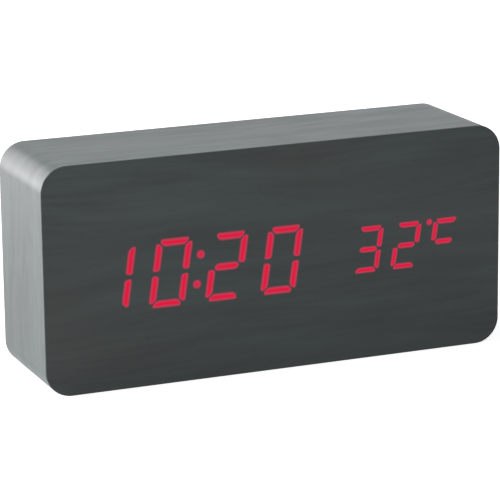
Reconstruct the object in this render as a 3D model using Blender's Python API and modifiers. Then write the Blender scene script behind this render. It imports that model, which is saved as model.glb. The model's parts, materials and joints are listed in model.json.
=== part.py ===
# Digital alarm clock: a hollow wooden block with a red LED display behind the film on its front.
# X runs along the width, Y from the front to the back and Z up, from the middle of the underside.

import math
from collections import namedtuple

import bmesh
import bpy
from mathutils import Matrix, Vector

MM = 0.001

# Block
WIDTH = 150 * MM
HEIGHT = 70 * MM
DEPTH = 40 * MM
CORNER_RADIUS = 8 * MM
SIDE_WALL = 6 * MM
FRONT_WALL = 4 * MM
POST_SIDE = 10 * MM
FILM_THICKNESS = 0.3 * MM

# Fits
GLUE_GAP = 0.1 * MM
CLEARANCE = 0.3 * MM
SLOT_CLEARANCE = 0.15 * MM
OVERRUN = 1 * MM
FUSE = 0.4 * MM
WELD = 0.001 * MM

# Cavity and back panel
PANEL_THICKNESS = 4 * MM
REBATE = 3 * MM
CAVITY_WIDTH = WIDTH - 2 * SIDE_WALL
CAVITY_HEIGHT = HEIGHT - 2 * SIDE_WALL
PANEL_OPENING_WIDTH = CAVITY_WIDTH + 2 * REBATE
PANEL_OPENING_HEIGHT = CAVITY_HEIGHT + 2 * REBATE
PANEL_OPENING_RADIUS = CORNER_RADIUS - SIDE_WALL + REBATE
PANEL_SCREW_OUTSET = 1 * MM
PANEL_SCREW_X = CAVITY_WIDTH / 2 - POST_SIDE / 2 + PANEL_SCREW_OUTSET
PANEL_SCREW_Z = CAVITY_HEIGHT / 2 - POST_SIDE / 2 + PANEL_SCREW_OUTSET

# Figures: width and height run between the centre lines of the bars
SLANT_SHARE = 0.153
TIME_WIDTH_SHARE = 0.0627
TIME_HEIGHT_SHARE = 0.267
TIME_STROKE_SHARE = 0.03
TEMP_WIDTH_SHARE = 0.0471
TEMP_HEIGHT_SHARE = 0.1843
TEMP_STROKE_SHARE = 0.0229
CORNER_GAP_SHARE = 0.26
MIDDLE_GAP_SHARE = 0.39
TIME_WIDTH = TIME_WIDTH_SHARE * WIDTH
TIME_HEIGHT = TIME_HEIGHT_SHARE * HEIGHT
TIME_STROKE = TIME_STROKE_SHARE * HEIGHT
TEMP_WIDTH = TEMP_WIDTH_SHARE * WIDTH
TEMP_HEIGHT = TEMP_HEIGHT_SHARE * HEIGHT
TEMP_STROKE = TEMP_STROKE_SHARE * HEIGHT
TIME_PITCH_SHARE = 0.1203
TEMP_PITCH_SHARE = 0.0857
TIME_PLACE_SHARE = -0.354
TEMP_PLACE_SHARE = 0.1993
TIME_DROP_SHARE = 0.0079
TEMP_DROP_SHARE = 0.0057
TIME_PITCH = TIME_PITCH_SHARE * WIDTH
TEMP_PITCH = TEMP_PITCH_SHARE * WIDTH
TIME_X = TIME_PLACE_SHARE * WIDTH
TEMP_X = TEMP_PLACE_SHARE * WIDTH
MID_Z = HEIGHT / 2
TIME_Z = MID_Z - TIME_DROP_SHARE * HEIGHT
TEMP_Z = MID_Z - TEMP_DROP_SHARE * HEIGHT
COLON_RADIUS_SHARE = 0.57
COLON_RISE_SHARE = 0.065
DEGREE_RADIUS_SHARE = 0.127
DEGREE_GAP_SHARE = 0.092
COLON_RADIUS = COLON_RADIUS_SHARE * TIME_STROKE
COLON_RISE = COLON_RISE_SHARE * HEIGHT
DEGREE_RADIUS = DEGREE_RADIUS_SHARE * TEMP_WIDTH
DEGREE_GAP = DEGREE_GAP_SHARE * TEMP_WIDTH
DEGREE_FROM_UNIT = TEMP_WIDTH / 2 + TEMP_STROKE / 2 + DEGREE_GAP + DEGREE_RADIUS

# Display stack: its flange fills the cavity between the posts
DISPLAY_MARGIN = 2 * MM
WINDOW_RADIUS = 2 * MM
FLANGE_SIDE_ROOM = 1.25 * MM
FLANGE_POST_ROOM = 1.6 * MM
FLANGE_WIDTH = CAVITY_WIDTH - 2 * FLANGE_SIDE_ROOM
FLANGE_HEIGHT = CAVITY_HEIGHT - 2 * POST_SIDE - 2 * FLANGE_POST_ROOM
FLANGE_THICKNESS = 2 * MM
WEB_THICKNESS = 1 * MM
WEB_MARGIN_SHARE = 0.039
WEB_MARGIN = WEB_MARGIN_SHARE * TEMP_PITCH
REFLECTOR_THICKNESS = 5 * MM
BOARD_THICKNESS = 1.6 * MM
CELL_LENGTH_SHARE = 0.7
CELL_WIDTH = 1.3 * MM
LED_LENGTH = 1.6 * MM
LED_WIDTH = 0.8 * MM
LED_HEIGHT = 0.8 * MM
DISPLAY_SCREW_INSET = 2.6 * MM
DISPLAY_SCREW_BITE = 2.6 * MM

# Screws
DISPLAY_HEAD_RADIUS = 2 * MM
DISPLAY_HEAD_HEIGHT = 1.6 * MM
DISPLAY_SHANK_RADIUS = 1.1 * MM
CONTROL_HEAD_RADIUS = 1.7 * MM
CONTROL_HEAD_HEIGHT = 1.2 * MM
CONTROL_SHANK_RADIUS = 0.9 * MM
PANEL_HEAD_RADIUS = 2.9 * MM
PANEL_HEAD_HEIGHT = 1.7 * MM
PANEL_SHANK_RADIUS = 1.5 * MM
PANEL_SCREW_LENGTH = 12 * MM
HEAD_EDGE = 0.3 * MM
TIP_LENGTH = 1 * MM
RECESS_LENGTH = 3 * MM
RECESS_WIDTH = 0.7 * MM
RECESS_DEPTH = 1 * MM

# Battery supply for four AAA cells: its flange fills the height of the cavity
BOX_WIDTH_SHARE = 0.442
BOX_SIDE_ROOM = 1.7 * MM
BOX_WALL = 1.4 * MM
BOX_LEDGE = 1 * MM
BOX_FLOOR = 1.4 * MM
BOX_RADIUS = 1.5 * MM
BOX_FLANGE_REACH = 3 * MM
CONTACT_THICKNESS = 0.4 * MM
SPRING_LENGTH = 4.5 * MM
CELL_COUNT = 4
CELL_GAP = 0.4 * MM
BOX_FLANGE_WIDTH = BOX_WIDTH_SHARE * CAVITY_WIDTH
BOX_FLANGE_HEIGHT = CAVITY_HEIGHT - 2 * BOX_SIDE_ROOM
BOX_WIDTH = BOX_FLANGE_WIDTH - 2 * BOX_FLANGE_REACH
BOX_HEIGHT = BOX_FLANGE_HEIGHT - 2 * BOX_FLANGE_REACH
BOX_X = -CAVITY_WIDTH / 2 + POST_SIDE + CLEARANCE + BOX_FLANGE_WIDTH / 2
DOOR_RECESS_WIDTH = BOX_WIDTH - 2 * BOX_WALL
DOOR_RECESS_HEIGHT = BOX_HEIGHT - 2 * BOX_WALL
BOX_INNER_WIDTH = DOOR_RECESS_WIDTH - 2 * BOX_LEDGE
BOX_INNER_HEIGHT = DOOR_RECESS_HEIGHT - 2 * BOX_LEDGE
CELL_LENGTH = BOX_INNER_WIDTH - SPRING_LENGTH - 2 * CONTACT_THICKNESS - 4 * GLUE_GAP
CELL_PITCH = (BOX_INNER_HEIGHT - 2 * CLEARANCE + CELL_GAP) / CELL_COUNT
CELL_DIAMETER = CELL_PITCH - CELL_GAP
NUB_RADIUS_SHARE = 0.181
CONTACT_SIDE_SHARE = 0.8
SPRING_BASE_SHARE = 0.314
NUB_RADIUS = NUB_RADIUS_SHARE * CELL_DIAMETER
CONTACT_SIDE = CONTACT_SIDE_SHARE * CELL_DIAMETER
SPRING_BASE_RADIUS = SPRING_BASE_SHARE * CELL_DIAMETER
SPRING_TIP_RADIUS = NUB_RADIUS
SPRING_WIRE_RADIUS = 0.25 * MM
SPRING_TURNS = 3.5
NUB_HEIGHT = 0.9 * MM
SLEEVE_EDGE = 0.5 * MM
TAB_WIDTH = 3 * MM
RIB_WIDTH = 1 * MM
RIB_HEIGHT = 2 * MM
DOOR_THICKNESS = 2 * MM
DOOR_WIDTH = DOOR_RECESS_WIDTH - 2 * CLEARANCE
DOOR_HEIGHT = DOOR_RECESS_HEIGHT - 2 * CLEARANCE
HINGE_PIN_RADIUS = 0.7 * MM
HINGE_PIN_REACH = 1 * MM
TONGUE_WIDTH = 16 * MM
TONGUE_LENGTH = 9 * MM
SLIT_WIDTH = 0.8 * MM
GROOVE_DEPTH = 0.4 * MM
GROOVE_COUNT = 3
SCOOP_LENGTH = 14 * MM
SCOOP_WIDTH = 4.5 * MM
SCOOP_DEPTH = 1.6 * MM

# Controls: the plate fills the panel beside the battery box, and its pieces are spread along it
PLATE_SIDE_ROOM = 4.35 * MM
CONTROL_LEFT = BOX_X + BOX_FLANGE_WIDTH / 2
CONTROL_RIGHT = CAVITY_WIDTH / 2
CONTROL_X = (CONTROL_LEFT + CONTROL_RIGHT) / 2
PLATE_WIDTH = CONTROL_RIGHT - CONTROL_LEFT - 2 * PLATE_SIDE_ROOM
PLATE_HEIGHT = 20 * MM
PLATE_THICKNESS = 1.5 * MM
PLATE_RADIUS = 2 * MM
PLATE_RECESS = 1.2 * MM
PLATE_LEDGE = 3 * MM
BUTTON_PITCH_SHARE = 0.1724
FIRST_BUTTON_SHARE = -0.2672
JACK_PLACE_SHARE = 0.2586
BOSS_PLACE_SHARE = 0.3966
SENSOR_PLACE_SHARE = 0.1034
CABLE_PLACE_SHARE = -0.2069
CONTROL_BOARD_SHARE = 0.8966
BUTTON_PITCH = BUTTON_PITCH_SHARE * PLATE_WIDTH
FIRST_BUTTON_X = CONTROL_X + FIRST_BUTTON_SHARE * PLATE_WIDTH
JACK_X = CONTROL_X + JACK_PLACE_SHARE * PLATE_WIDTH
BOSS_FROM_MIDDLE = BOSS_PLACE_SHARE * PLATE_WIDTH
SENSOR_X = CONTROL_X + SENSOR_PLACE_SHARE * PLATE_WIDTH
CABLE_X = CONTROL_X + CABLE_PLACE_SHARE * PLATE_WIDTH
CONTROL_BOARD_WIDTH = CONTROL_BOARD_SHARE * PLATE_WIDTH
CONTROL_BOARD_HEIGHT = 13 * MM
BUTTON_SHARE = 0.32
BUTTON_FLANGE_SHARE = 0.42
STEM_SHARE = 0.15
PLUNGER_SHARE = 0.17
SWITCH_SHARE = 0.6
BUTTON_RADIUS = BUTTON_SHARE * BUTTON_PITCH
BUTTON_FLANGE_RADIUS = BUTTON_FLANGE_SHARE * BUTTON_PITCH
STEM_RADIUS = STEM_SHARE * BUTTON_PITCH
PLUNGER_RADIUS = PLUNGER_SHARE * BUTTON_PITCH
SWITCH_SIDE = SWITCH_SHARE * BUTTON_PITCH
BUTTON_RISE = 1 * MM
BUTTON_EDGE = 0.35 * MM
BUTTON_FLANGE = 1 * MM
BUTTON_SEAT_GAP = 0.2 * MM
STEM_LENGTH = 0.4 * MM
PLUNGER_LENGTH = 2.6 * MM
PLUNGER_SHOWN = 1.4 * MM
PLUNGER_ROOM = 0.6 * MM
SWITCH_HEIGHT = 3.5 * MM
BOSS_RADIUS = 2.2 * MM
BOSS_PILOT_DEPTH = 5 * MM
JACK_SIDE = 7 * MM
JACK_NOSE_RADIUS = 2.9 * MM
JACK_BORE_RADIUS = 1.85 * MM
JACK_PIN_RADIUS = 0.65 * MM
JACK_FLOOR = 1.3 * MM
JACK_PIN_SET_BACK = 0.6 * MM
SENSOR_RADIUS = 2.3 * MM
SENSOR_FLAT = 1.4 * MM

# Layers from the front to the back
FRONT_Y = -DEPTH / 2
BACK_Y = DEPTH / 2
CASE_FRONT_Y = FRONT_Y + FILM_THICKNESS + GLUE_GAP
WALL_BACK_Y = CASE_FRONT_Y + FRONT_WALL
FLANGE_FRONT_Y = WALL_BACK_Y + GLUE_GAP
FLANGE_BACK_Y = FLANGE_FRONT_Y + FLANGE_THICKNESS
WEB_FRONT_Y = FLANGE_BACK_Y + GLUE_GAP
WEB_BACK_Y = WEB_FRONT_Y + WEB_THICKNESS
REFLECTOR_FRONT_Y = WEB_BACK_Y + GLUE_GAP
REFLECTOR_BACK_Y = REFLECTOR_FRONT_Y + REFLECTOR_THICKNESS
BOARD_FRONT_Y = REFLECTOR_BACK_Y + GLUE_GAP
BOARD_BACK_Y = BOARD_FRONT_Y + BOARD_THICKNESS
MOUNT_Y = BOARD_BACK_Y + GLUE_GAP
PANEL_FRONT_Y = BACK_Y - PANEL_THICKNESS
REBATE_FLOOR_Y = PANEL_FRONT_Y - GLUE_GAP
PLATE_BACK_Y = BACK_Y - PLATE_RECESS
PLATE_FRONT_Y = PLATE_BACK_Y - PLATE_THICKNESS
BUTTON_FLANGE_BACK_Y = PLATE_FRONT_Y - BUTTON_SEAT_GAP
BUTTON_FLANGE_FRONT_Y = BUTTON_FLANGE_BACK_Y - BUTTON_FLANGE
STEM_END_Y = BUTTON_FLANGE_FRONT_Y - STEM_LENGTH
PLUNGER_BACK_Y = STEM_END_Y - GLUE_GAP
SWITCH_BACK_Y = PLUNGER_BACK_Y - PLUNGER_SHOWN
SWITCH_FRONT_Y = SWITCH_BACK_Y - SWITCH_HEIGHT
CONTROL_BACK_Y = SWITCH_FRONT_Y - GLUE_GAP
CONTROL_FRONT_Y = CONTROL_BACK_Y - BOARD_THICKNESS
DOOR_FRONT_Y = BACK_Y - DOOR_THICKNESS
HINGE_X = BOX_X - DOOR_WIDTH / 2 + DOOR_THICKNESS / 2
HINGE_Y = BACK_Y - DOOR_THICKNESS / 2
LEDGE_Y = DOOR_FRONT_Y - CLEARANCE
CELL_Y = LEDGE_Y - CLEARANCE - CELL_DIAMETER / 2
BOX_FLOOR_Y = CELL_Y - CELL_DIAMETER / 2 - CLEARANCE
BOX_FRONT_Y = BOX_FLOOR_Y - BOX_FLOOR
BOX_FLANGE_BACK_Y = PANEL_FRONT_Y - GLUE_GAP

# Room behind the display: in front of the control board, and in front of the battery box
BOARD_ROOM = CONTROL_FRONT_Y - MOUNT_Y
BOX_ROOM = BOX_FRONT_Y - MOUNT_Y
BUZZER_HEIGHT_SHARE = 0.3724
CAPACITOR_HEIGHT_SHARE = 0.4828
COIN_HEIGHT_SHARE = 0.2207
SENSOR_HEIGHT_SHARE = 0.2897
TAB_SHOWN_SHARE = 0.15
LEAD_DROP_SHARE = 0.28
BUZZER_HEIGHT = BUZZER_HEIGHT_SHARE * BOARD_ROOM
CAPACITOR_HEIGHT = CAPACITOR_HEIGHT_SHARE * BOARD_ROOM
COIN_HEIGHT = COIN_HEIGHT_SHARE * BOARD_ROOM
SENSOR_HEIGHT = SENSOR_HEIGHT_SHARE * BOARD_ROOM
TAB_SHOWN = TAB_SHOWN_SHARE * BOX_ROOM
LEAD_DROP = LEAD_DROP_SHARE * BOX_ROOM
LEAD_RADIUS = 0.6 * MM
CABLE_RADIUS = 1.2 * MM
LEAD_RUN = 7 * MM
CABLE_SWAY = 3.5 * MM

# Electronics on the back of the display board, spread along and across it
CLOCK_CHIP_SHARE = 0.08
DRIVER_CHIP_SHARE = -0.2
CRYSTAL_SHARE = 0.1467
BUZZER_SHARE = 0.1933
CAPACITOR_SHARE = 0.2067
COIN_SHARE = 0.3233
BUZZER_RISE_SHARE = 0.2931
CAPACITOR_DROP_SHARE = 0.3448
CRYSTAL_DROP_SHARE = 0.2586
CLOCK_CHIP_X = CLOCK_CHIP_SHARE * WIDTH
DRIVER_CHIP_X = DRIVER_CHIP_SHARE * WIDTH
CRYSTAL_X = CRYSTAL_SHARE * WIDTH
BUZZER_X = BUZZER_SHARE * WIDTH
CAPACITOR_X = CAPACITOR_SHARE * WIDTH
COIN_X = COIN_SHARE * WIDTH
BUZZER_RISE = BUZZER_RISE_SHARE * FLANGE_HEIGHT
CAPACITOR_DROP = CAPACITOR_DROP_SHARE * FLANGE_HEIGHT
CRYSTAL_DROP = CRYSTAL_DROP_SHARE * FLANGE_HEIGHT
CLOCK_CHIP_LENGTH = 17.9 * MM
DRIVER_CHIP_LENGTH = 12.8 * MM
CHIP_WIDTH = 7.5 * MM
CHIP_HEIGHT = 2.2 * MM
CHIP_SPAN = 10.3 * MM
PIN_PITCH = 1.27 * MM
PIN_WIDTH = 0.45 * MM
PIN_THICKNESS = 0.3 * MM
CRYSTAL_RADIUS = 1.05 * MM
CRYSTAL_LENGTH = 6.2 * MM
BUZZER_RADIUS = 6 * MM
BUZZER_HOLE = 1 * MM
CAPACITOR_RADIUS = 3.15 * MM
COIN_RADIUS = 10 * MM
COIN_RIM = 1.2 * MM
COIN_HOLDER_WALL = 1.1 * MM
COIN_HOLDER_FLOOR = 0.8 * MM
COIN_HOLDER_MOUTH = 9 * MM

# Holes in the back for the buzzer's sound and the sensor's air
HOLE_RADIUS = 0.9 * MM
HOLE_PITCH = 4 * MM
HOLE_ROW_SHARE = 0.2071
HOLES_FROM_EDGE = HOLE_ROW_SHARE * HEIGHT
UPPER_HOLE_COUNT = 5
LOWER_HOLE_COUNT = 3

# Fineness of round work
CORNER_STEPS = 8
SMALL_CORNER_STEPS = 3
ROUND_SIDES = 16
SMALL_SIDES = 12
VENT_SIDES = 8
SPRING_STEPS = 8

ScrewStyle = namedtuple("ScrewStyle", "head_radius head_height shank_radius")
DISPLAY_SCREW = ScrewStyle(DISPLAY_HEAD_RADIUS, DISPLAY_HEAD_HEIGHT, DISPLAY_SHANK_RADIUS)
CONTROL_SCREW = ScrewStyle(CONTROL_HEAD_RADIUS, CONTROL_HEAD_HEIGHT, CONTROL_SHANK_RADIUS)
PANEL_SCREW = ScrewStyle(PANEL_HEAD_RADIUS, PANEL_HEAD_HEIGHT, PANEL_SHANK_RADIUS)
FigureStyle = namedtuple("FigureStyle", "width height stroke")
TIME_STYLE = FigureStyle(TIME_WIDTH, TIME_HEIGHT, TIME_STROKE)
TEMP_STYLE = FigureStyle(TEMP_WIDTH, TEMP_HEIGHT, TEMP_STROKE)

# Colour (linear), roughness and metallic of each finish
FINISHES = {
    "charcoal_film": ((0.052, 0.065, 0.066), 0.5, 0.0),
    "black_plastic": ((0.012, 0.012, 0.013), 0.45, 0.0),
    "white_plastic": ((0.8, 0.8, 0.78), 0.5, 0.0),
    "red_diffuser": ((0.75, 0.01, 0.045), 0.35, 0.0),
    "board_green": ((0.01, 0.09, 0.03), 0.4, 0.0),
    "zinc_steel": ((0.55, 0.55, 0.53), 0.35, 1.0),
    "spring_steel": ((0.62, 0.62, 0.6), 0.3, 1.0),
    "chip_black": ((0.02, 0.02, 0.02), 0.6, 0.0),
    "cell_sleeve": ((0.03, 0.12, 0.05), 0.4, 0.0),
    "red_sleeve": ((0.5, 0.01, 0.01), 0.4, 0.0),
    "black_sleeve": ((0.015, 0.015, 0.015), 0.4, 0.0),
}


# Scene and objects

def clear_scene():
    for thing in list(bpy.data.objects):
        bpy.data.objects.remove(thing, do_unlink=True)


def new_collection(name, hidden):
    collection = bpy.data.collections.new(name)
    collection.hide_render = hidden
    bpy.context.scene.collection.children.link(collection)
    return collection


clear_scene()
PARTS = new_collection("digital_alarm_clock", False)
CUTTERS = new_collection("cutters", True)


def coat(thing, finish):
    """Give the object a material of its own."""
    colour, roughness, metallic = FINISHES[finish]
    material = bpy.data.materials.new(thing.name)
    material.use_nodes = True
    shader = material.node_tree.nodes["Principled BSDF"]
    shader.inputs["Base Color"].default_value = (*colour, 1.0)
    shader.inputs["Roughness"].default_value = roughness
    shader.inputs["Metallic"].default_value = metallic
    thing.data.materials.append(material)


def add_object(name, data, finish, location=(0, 0, 0), rotation=(0, 0, 0)):
    """Link a part, or a helper shape where the finish is None."""
    thing = bpy.data.objects.new(name, data)
    thing.location = location
    thing.rotation_euler = rotation
    if finish is None:
        CUTTERS.objects.link(thing)
        thing.hide_render = True
        thing.display_type = "WIRE"
    else:
        PARTS.objects.link(thing)
        coat(thing, finish)
    return thing


def boolean(target, other, operation):
    modifier = target.modifiers.new(other.name, "BOOLEAN")
    modifier.operation = operation
    modifier.solver = "EXACT"
    modifier.object = other


def cut(target, *cutters):
    for cutter in cutters:
        boolean(target, cutter, "DIFFERENCE")


def fuse(target, *others):
    for other in others:
        boolean(target, other, "UNION")


def mesh_from(work, name):
    """Mesh of a bmesh, faces outwards."""
    bmesh.ops.recalc_face_normals(work, faces=work.faces)
    mesh = bpy.data.meshes.new(name)
    work.to_mesh(mesh)
    work.free()
    return mesh


def realised(curve_object, name):
    """Welded mesh of a curve object, which is removed."""
    bpy.context.view_layer.update()
    graph = bpy.context.evaluated_depsgraph_get()
    mesh = bpy.data.meshes.new_from_object(curve_object.evaluated_get(graph))
    curve = curve_object.data
    bpy.data.objects.remove(curve_object, do_unlink=True)
    bpy.data.curves.remove(curve)
    work = bmesh.new()
    work.from_mesh(mesh)
    bpy.data.meshes.remove(mesh)
    bmesh.ops.remove_doubles(work, verts=work.verts, dist=WELD)
    return mesh_from(work, name)


# Outlines in the plane of the front, as lists of (x, z)

def circle(radius, centre=(0, 0), sides=SMALL_SIDES):
    return [
        (centre[0] + radius * math.cos(turn), centre[1] + radius * math.sin(turn))
        for turn in (2 * math.pi * step / sides for step in range(sides))
    ]


def rectangle(width, height, centre=(0, 0)):
    return [
        (centre[0] + width / 2 * x_side, centre[1] + height / 2 * z_side)
        for x_side, z_side in ((-1, -1), (1, -1), (1, 1), (-1, 1))
    ]


def rounded_rectangle(width, height, radius, centre=(0, 0), steps=SMALL_CORNER_STEPS):
    points = []
    for quarter, (x_side, z_side) in enumerate(((1, 1), (-1, 1), (-1, -1), (1, -1))):
        middle_x = centre[0] + x_side * (width / 2 - radius)
        middle_z = centre[1] + z_side * (height / 2 - radius)
        for step in range(steps + 1):
            turn = math.pi / 2 * (quarter + step / steps)
            points.append((middle_x + radius * math.cos(turn), middle_z + radius * math.sin(turn)))
    return points


def slanted(points, height=0):
    """Lean an outline to the right as it rises from the given height."""
    return [(x + SLANT_SHARE * (z - height), z) for x, z in points]


def moved(points, centre):
    return [(x + centre[0], z + centre[1]) for x, z in points]


def grown(points, amount):
    """Convex outline with every side moved out by the amount."""
    area = sum(
        a[0] * b[1] - b[0] * a[1] for a, b in zip(points, points[1:] + points[:1], strict=True)
    )
    way = math.copysign(1, area)
    result = []
    for before, here, after in zip(points[-1:] + points[:-1], points, points[1:] + points[:1], strict=True):
        first = Vector((here[1] - before[1], before[0] - here[0])).normalized() * way
        second = Vector((after[1] - here[1], here[0] - after[0])).normalized() * way
        corner = Vector(here) + (first + second) * amount / (1 + first.dot(second))
        result.append((corner.x, corner.y))
    return result


def outline_solid(name, outlines, front_y, back_y, finish=None, centre=(0, 0)):
    """Flat outlines, nested ones as holes, made as thick as the two faces are apart."""
    curve = bpy.data.curves.new(name, "CURVE")
    curve.dimensions = "2D"
    curve.fill_mode = "BOTH"
    curve.extrude = (back_y - front_y) / 2
    for points in outlines:
        spline = curve.splines.new("POLY")
        spline.points.add(len(points) - 1)
        for point, (x, z) in zip(spline.points, points, strict=True):
            point.co = (x, z, 0, 1)
        spline.use_cyclic_u = True
    guide = add_object(name, curve, None)
    mesh = realised(guide, name)
    location = (centre[0], (front_y + back_y) / 2, centre[1])
    return add_object(name, mesh, finish, location, (math.pi / 2, 0, 0))


# Solids from primitives and profiles

BACKWARD = (-math.pi / 2, 0, 0)
FORWARD = (math.pi / 2, 0, 0)


def box(name, size, centre, finish=None, radius=0):
    """Box, with its edges along Y rounded where a radius is given."""
    work = bmesh.new()
    bmesh.ops.create_cube(work, size=1)
    bmesh.ops.scale(work, vec=size, verts=work.verts)
    if radius:
        corners = [
            edge for edge in work.edges
            if abs(edge.verts[0].co.y - edge.verts[1].co.y) > radius
        ]
        bmesh.ops.bevel(
            work, geom=corners, offset=radius, segments=SMALL_CORNER_STEPS,
            affect="EDGES", profile=0.5, material=-1,
        )
    return add_object(name, mesh_from(work, name), finish, centre)


def rod(name, radius, length, centre, rotation, finish=None, sides=SMALL_SIDES):
    """Round bar along the turned Z axis."""
    work = bmesh.new()
    bmesh.ops.create_cone(
        work, cap_ends=True, segments=sides, radius1=radius, radius2=radius, depth=length
    )
    return add_object(name, mesh_from(work, name), finish, centre, rotation)


def turned(name, profile, location, rotation, finish, sides=ROUND_SIDES):
    """Turned solid: the profile lists (radius, height) down its outer side, from axis to axis."""
    work = bmesh.new()
    rings = [work.verts.new((radius, 0, height)) for radius, height in profile]
    for upper, lower in zip(rings, rings[1:]):
        work.edges.new((upper, lower))
    mesh = bpy.data.meshes.new(name)
    work.to_mesh(mesh)
    work.free()
    thing = add_object(name, mesh, finish, location, rotation)
    spin = thing.modifiers.new("turn", "SCREW")
    spin.steps = sides
    spin.render_steps = sides
    spin.use_merge_vertices = True
    spin.merge_threshold = WELD
    spin.use_smooth_shade = True
    return thing


def smooth_route(points, steps):
    """Points along a smooth curve through the given ones."""
    places = [Vector(point) for point in points]
    places = [places[0] * 2 - places[1], *places, places[-1] * 2 - places[-2]]
    route = []
    for p0, p1, p2, p3 in zip(places, places[1:], places[2:], places[3:]):
        for step in range(steps):
            t = step / steps
            route.append(
                (2 * p1 + (p2 - p0) * t + (2 * p0 - 5 * p1 + 4 * p2 - p3) * t ** 2
                 + (3 * p1 - p0 - 3 * p2 + p3) * t ** 3) / 2
            )
    return [*route, places[-2]]


def tube(name, route, radius, finish=None, resolution=2):
    """Round wire along the route."""
    curve = bpy.data.curves.new(name, "CURVE")
    curve.dimensions = "3D"
    curve.bevel_depth = radius
    curve.bevel_resolution = resolution
    curve.use_fill_caps = True
    spline = curve.splines.new("POLY")
    spline.points.add(len(route) - 1)
    for point, place in zip(spline.points, route, strict=True):
        point.co = (*place, 1)
    return add_object(name, curve, finish)


def wire_mesh(name, route, radius, resolution=1):
    """Round wire as a helper mesh that can be fused to a part."""
    return add_object(name, realised(tube(name, route, radius, None, resolution), name), None)


# Seven-segment figures

# Each bar runs between two corners, given as shares of half the width and half the height
BAR_SHARES = {
    "a": ((-1, 1), (1, 1)),
    "b": ((1, 1), (1, 0)),
    "c": ((1, 0), (1, -1)),
    "d": ((1, -1), (-1, -1)),
    "e": ((-1, -1), (-1, 0)),
    "f": ((-1, 0), (-1, 1)),
    "g": ((-1, 0), (1, 0)),
}
# How far an end reaches past its middle at the outer and the inner edge, in shares of half the stroke
MITRE_SHARES = (0.6, -1)
BLUNT_SHARES = (-0.4, -0.4)
POINT_SHARES = (-1, -1)
BAR_END_SHARES = {
    "a": (MITRE_SHARES, MITRE_SHARES),
    "b": (MITRE_SHARES, BLUNT_SHARES),
    "c": (BLUNT_SHARES, MITRE_SHARES),
    "d": (MITRE_SHARES, MITRE_SHARES),
    "e": (MITRE_SHARES, BLUNT_SHARES),
    "f": (BLUNT_SHARES, MITRE_SHARES),
    "g": (POINT_SHARES, POINT_SHARES),
}
ALL_BARS = "abcdefg"

Figure = namedtuple("Figure", "name style x z lit")
FIGURES = [
    Figure("hour_tens_guide", TIME_STYLE, TIME_X, TIME_Z, "bc"),
    Figure("hour_ones_guide", TIME_STYLE, TIME_X + TIME_PITCH, TIME_Z, "abcdef"),
    Figure("minute_tens_guide", TIME_STYLE, TIME_X + 2 * TIME_PITCH, TIME_Z, "abged"),
    Figure("minute_ones_guide", TIME_STYLE, TIME_X + 3 * TIME_PITCH, TIME_Z, "abcdef"),
    Figure("degrees_tens_guide", TEMP_STYLE, TEMP_X, TEMP_Z, "abcdg"),
    Figure("degrees_ones_guide", TEMP_STYLE, TEMP_X + TEMP_PITCH, TEMP_Z, "abged"),
    Figure("unit_guide", TEMP_STYLE, TEMP_X + 2 * TEMP_PITCH, TEMP_Z, "afg"),
]
UNIT = FIGURES[-1]
COLON_X = (FIGURES[1].x + FIGURES[2].x) / 2


def bar_frame(style, bar):
    """Start, direction, outward direction and length of a bar's middle line."""
    half = Vector((style.width / 2, style.height / 2))
    start, end = (Vector((half.x * x, half.y * z)) for x, z in BAR_SHARES[bar])
    along = (end - start).normalized()
    return start, along, Vector((-along.y, along.x)), (end - start).length


def bar_outline(style, bar):
    """Upright outline of a bar, about the figure's middle."""
    start, along, outward, length = bar_frame(style, bar)
    half = style.stroke / 2
    ends = []
    for shares in BAR_END_SHARES[bar]:
        gap_share = MIDDLE_GAP_SHARE if shares == BLUNT_SHARES else CORNER_GAP_SHARE
        inset = gap_share * style.stroke
        ends.append([inset - shares[0] * half, inset, inset - shares[1] * half])
    sides = (half, 0, -half)
    points = [start + along * reach + outward * side for reach, side in zip(ends[0], sides)]
    points += [
        start + along * (length - reach) + outward * side
        for reach, side in zip(reversed(ends[1]), reversed(sides))
    ]
    return [tuple(point) for point in points]


def bar_pocket(style, bar, length, width):
    """Upright rectangle in the middle of a bar and along it."""
    start, along, outward, full = bar_frame(style, bar)
    middle = start + along * full / 2
    across, up = (length, width) if abs(along.x) > abs(along.y) else (width, length)
    return rectangle(across, up, middle)


def figure_outlines(figure, bars, growth=0):
    """Leaning outlines of the bars, about the middle of the block."""
    return [
        moved(slanted(grown(bar_outline(figure.style, bar), growth)), (figure.x, figure.z))
        for bar in bars
    ]


def colon_dots(growth=0):
    dots = []
    for side in (-1, 1):
        rise = side * COLON_RISE
        dots.append(circle(COLON_RADIUS + growth, (COLON_X + SLANT_SHARE * rise, TIME_Z + rise)))
    return dots


def degree_dot(growth=0):
    rise = TEMP_STYLE.height / 2
    across = UNIT.x - DEGREE_FROM_UNIT + SLANT_SHARE * rise
    return circle(DEGREE_RADIUS + growth, (across, UNIT.z + rise))


def lit_outlines(growth=0):
    shown = [outline for figure in FIGURES for outline in figure_outlines(figure, figure.lit, growth)]
    return [*shown, *colon_dots(growth), degree_dot(growth)]


def all_outlines(growth=0):
    bars = [outline for figure in FIGURES for outline in figure_outlines(figure, ALL_BARS, growth)]
    return [*bars, *colon_dots(growth), degree_dot(growth)]


def pocket_outlines(length_of, width):
    """A rectangle on every bar, and one on every dot."""
    pockets = []
    for figure in FIGURES:
        for bar in ALL_BARS:
            full = bar_frame(figure.style, bar)[3]
            pocket = bar_pocket(figure.style, bar, length_of(full), width)
            pockets.append(moved(slanted(pocket), (figure.x, figure.z)))
    for dot in (*colon_dots(), degree_dot()):
        middle_x = sum(x for x, _ in dot) / len(dot)
        middle_z = sum(z for _, z in dot) / len(dot)
        pockets.append(rectangle(width, width, (middle_x, middle_z)))
    return pockets


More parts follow.
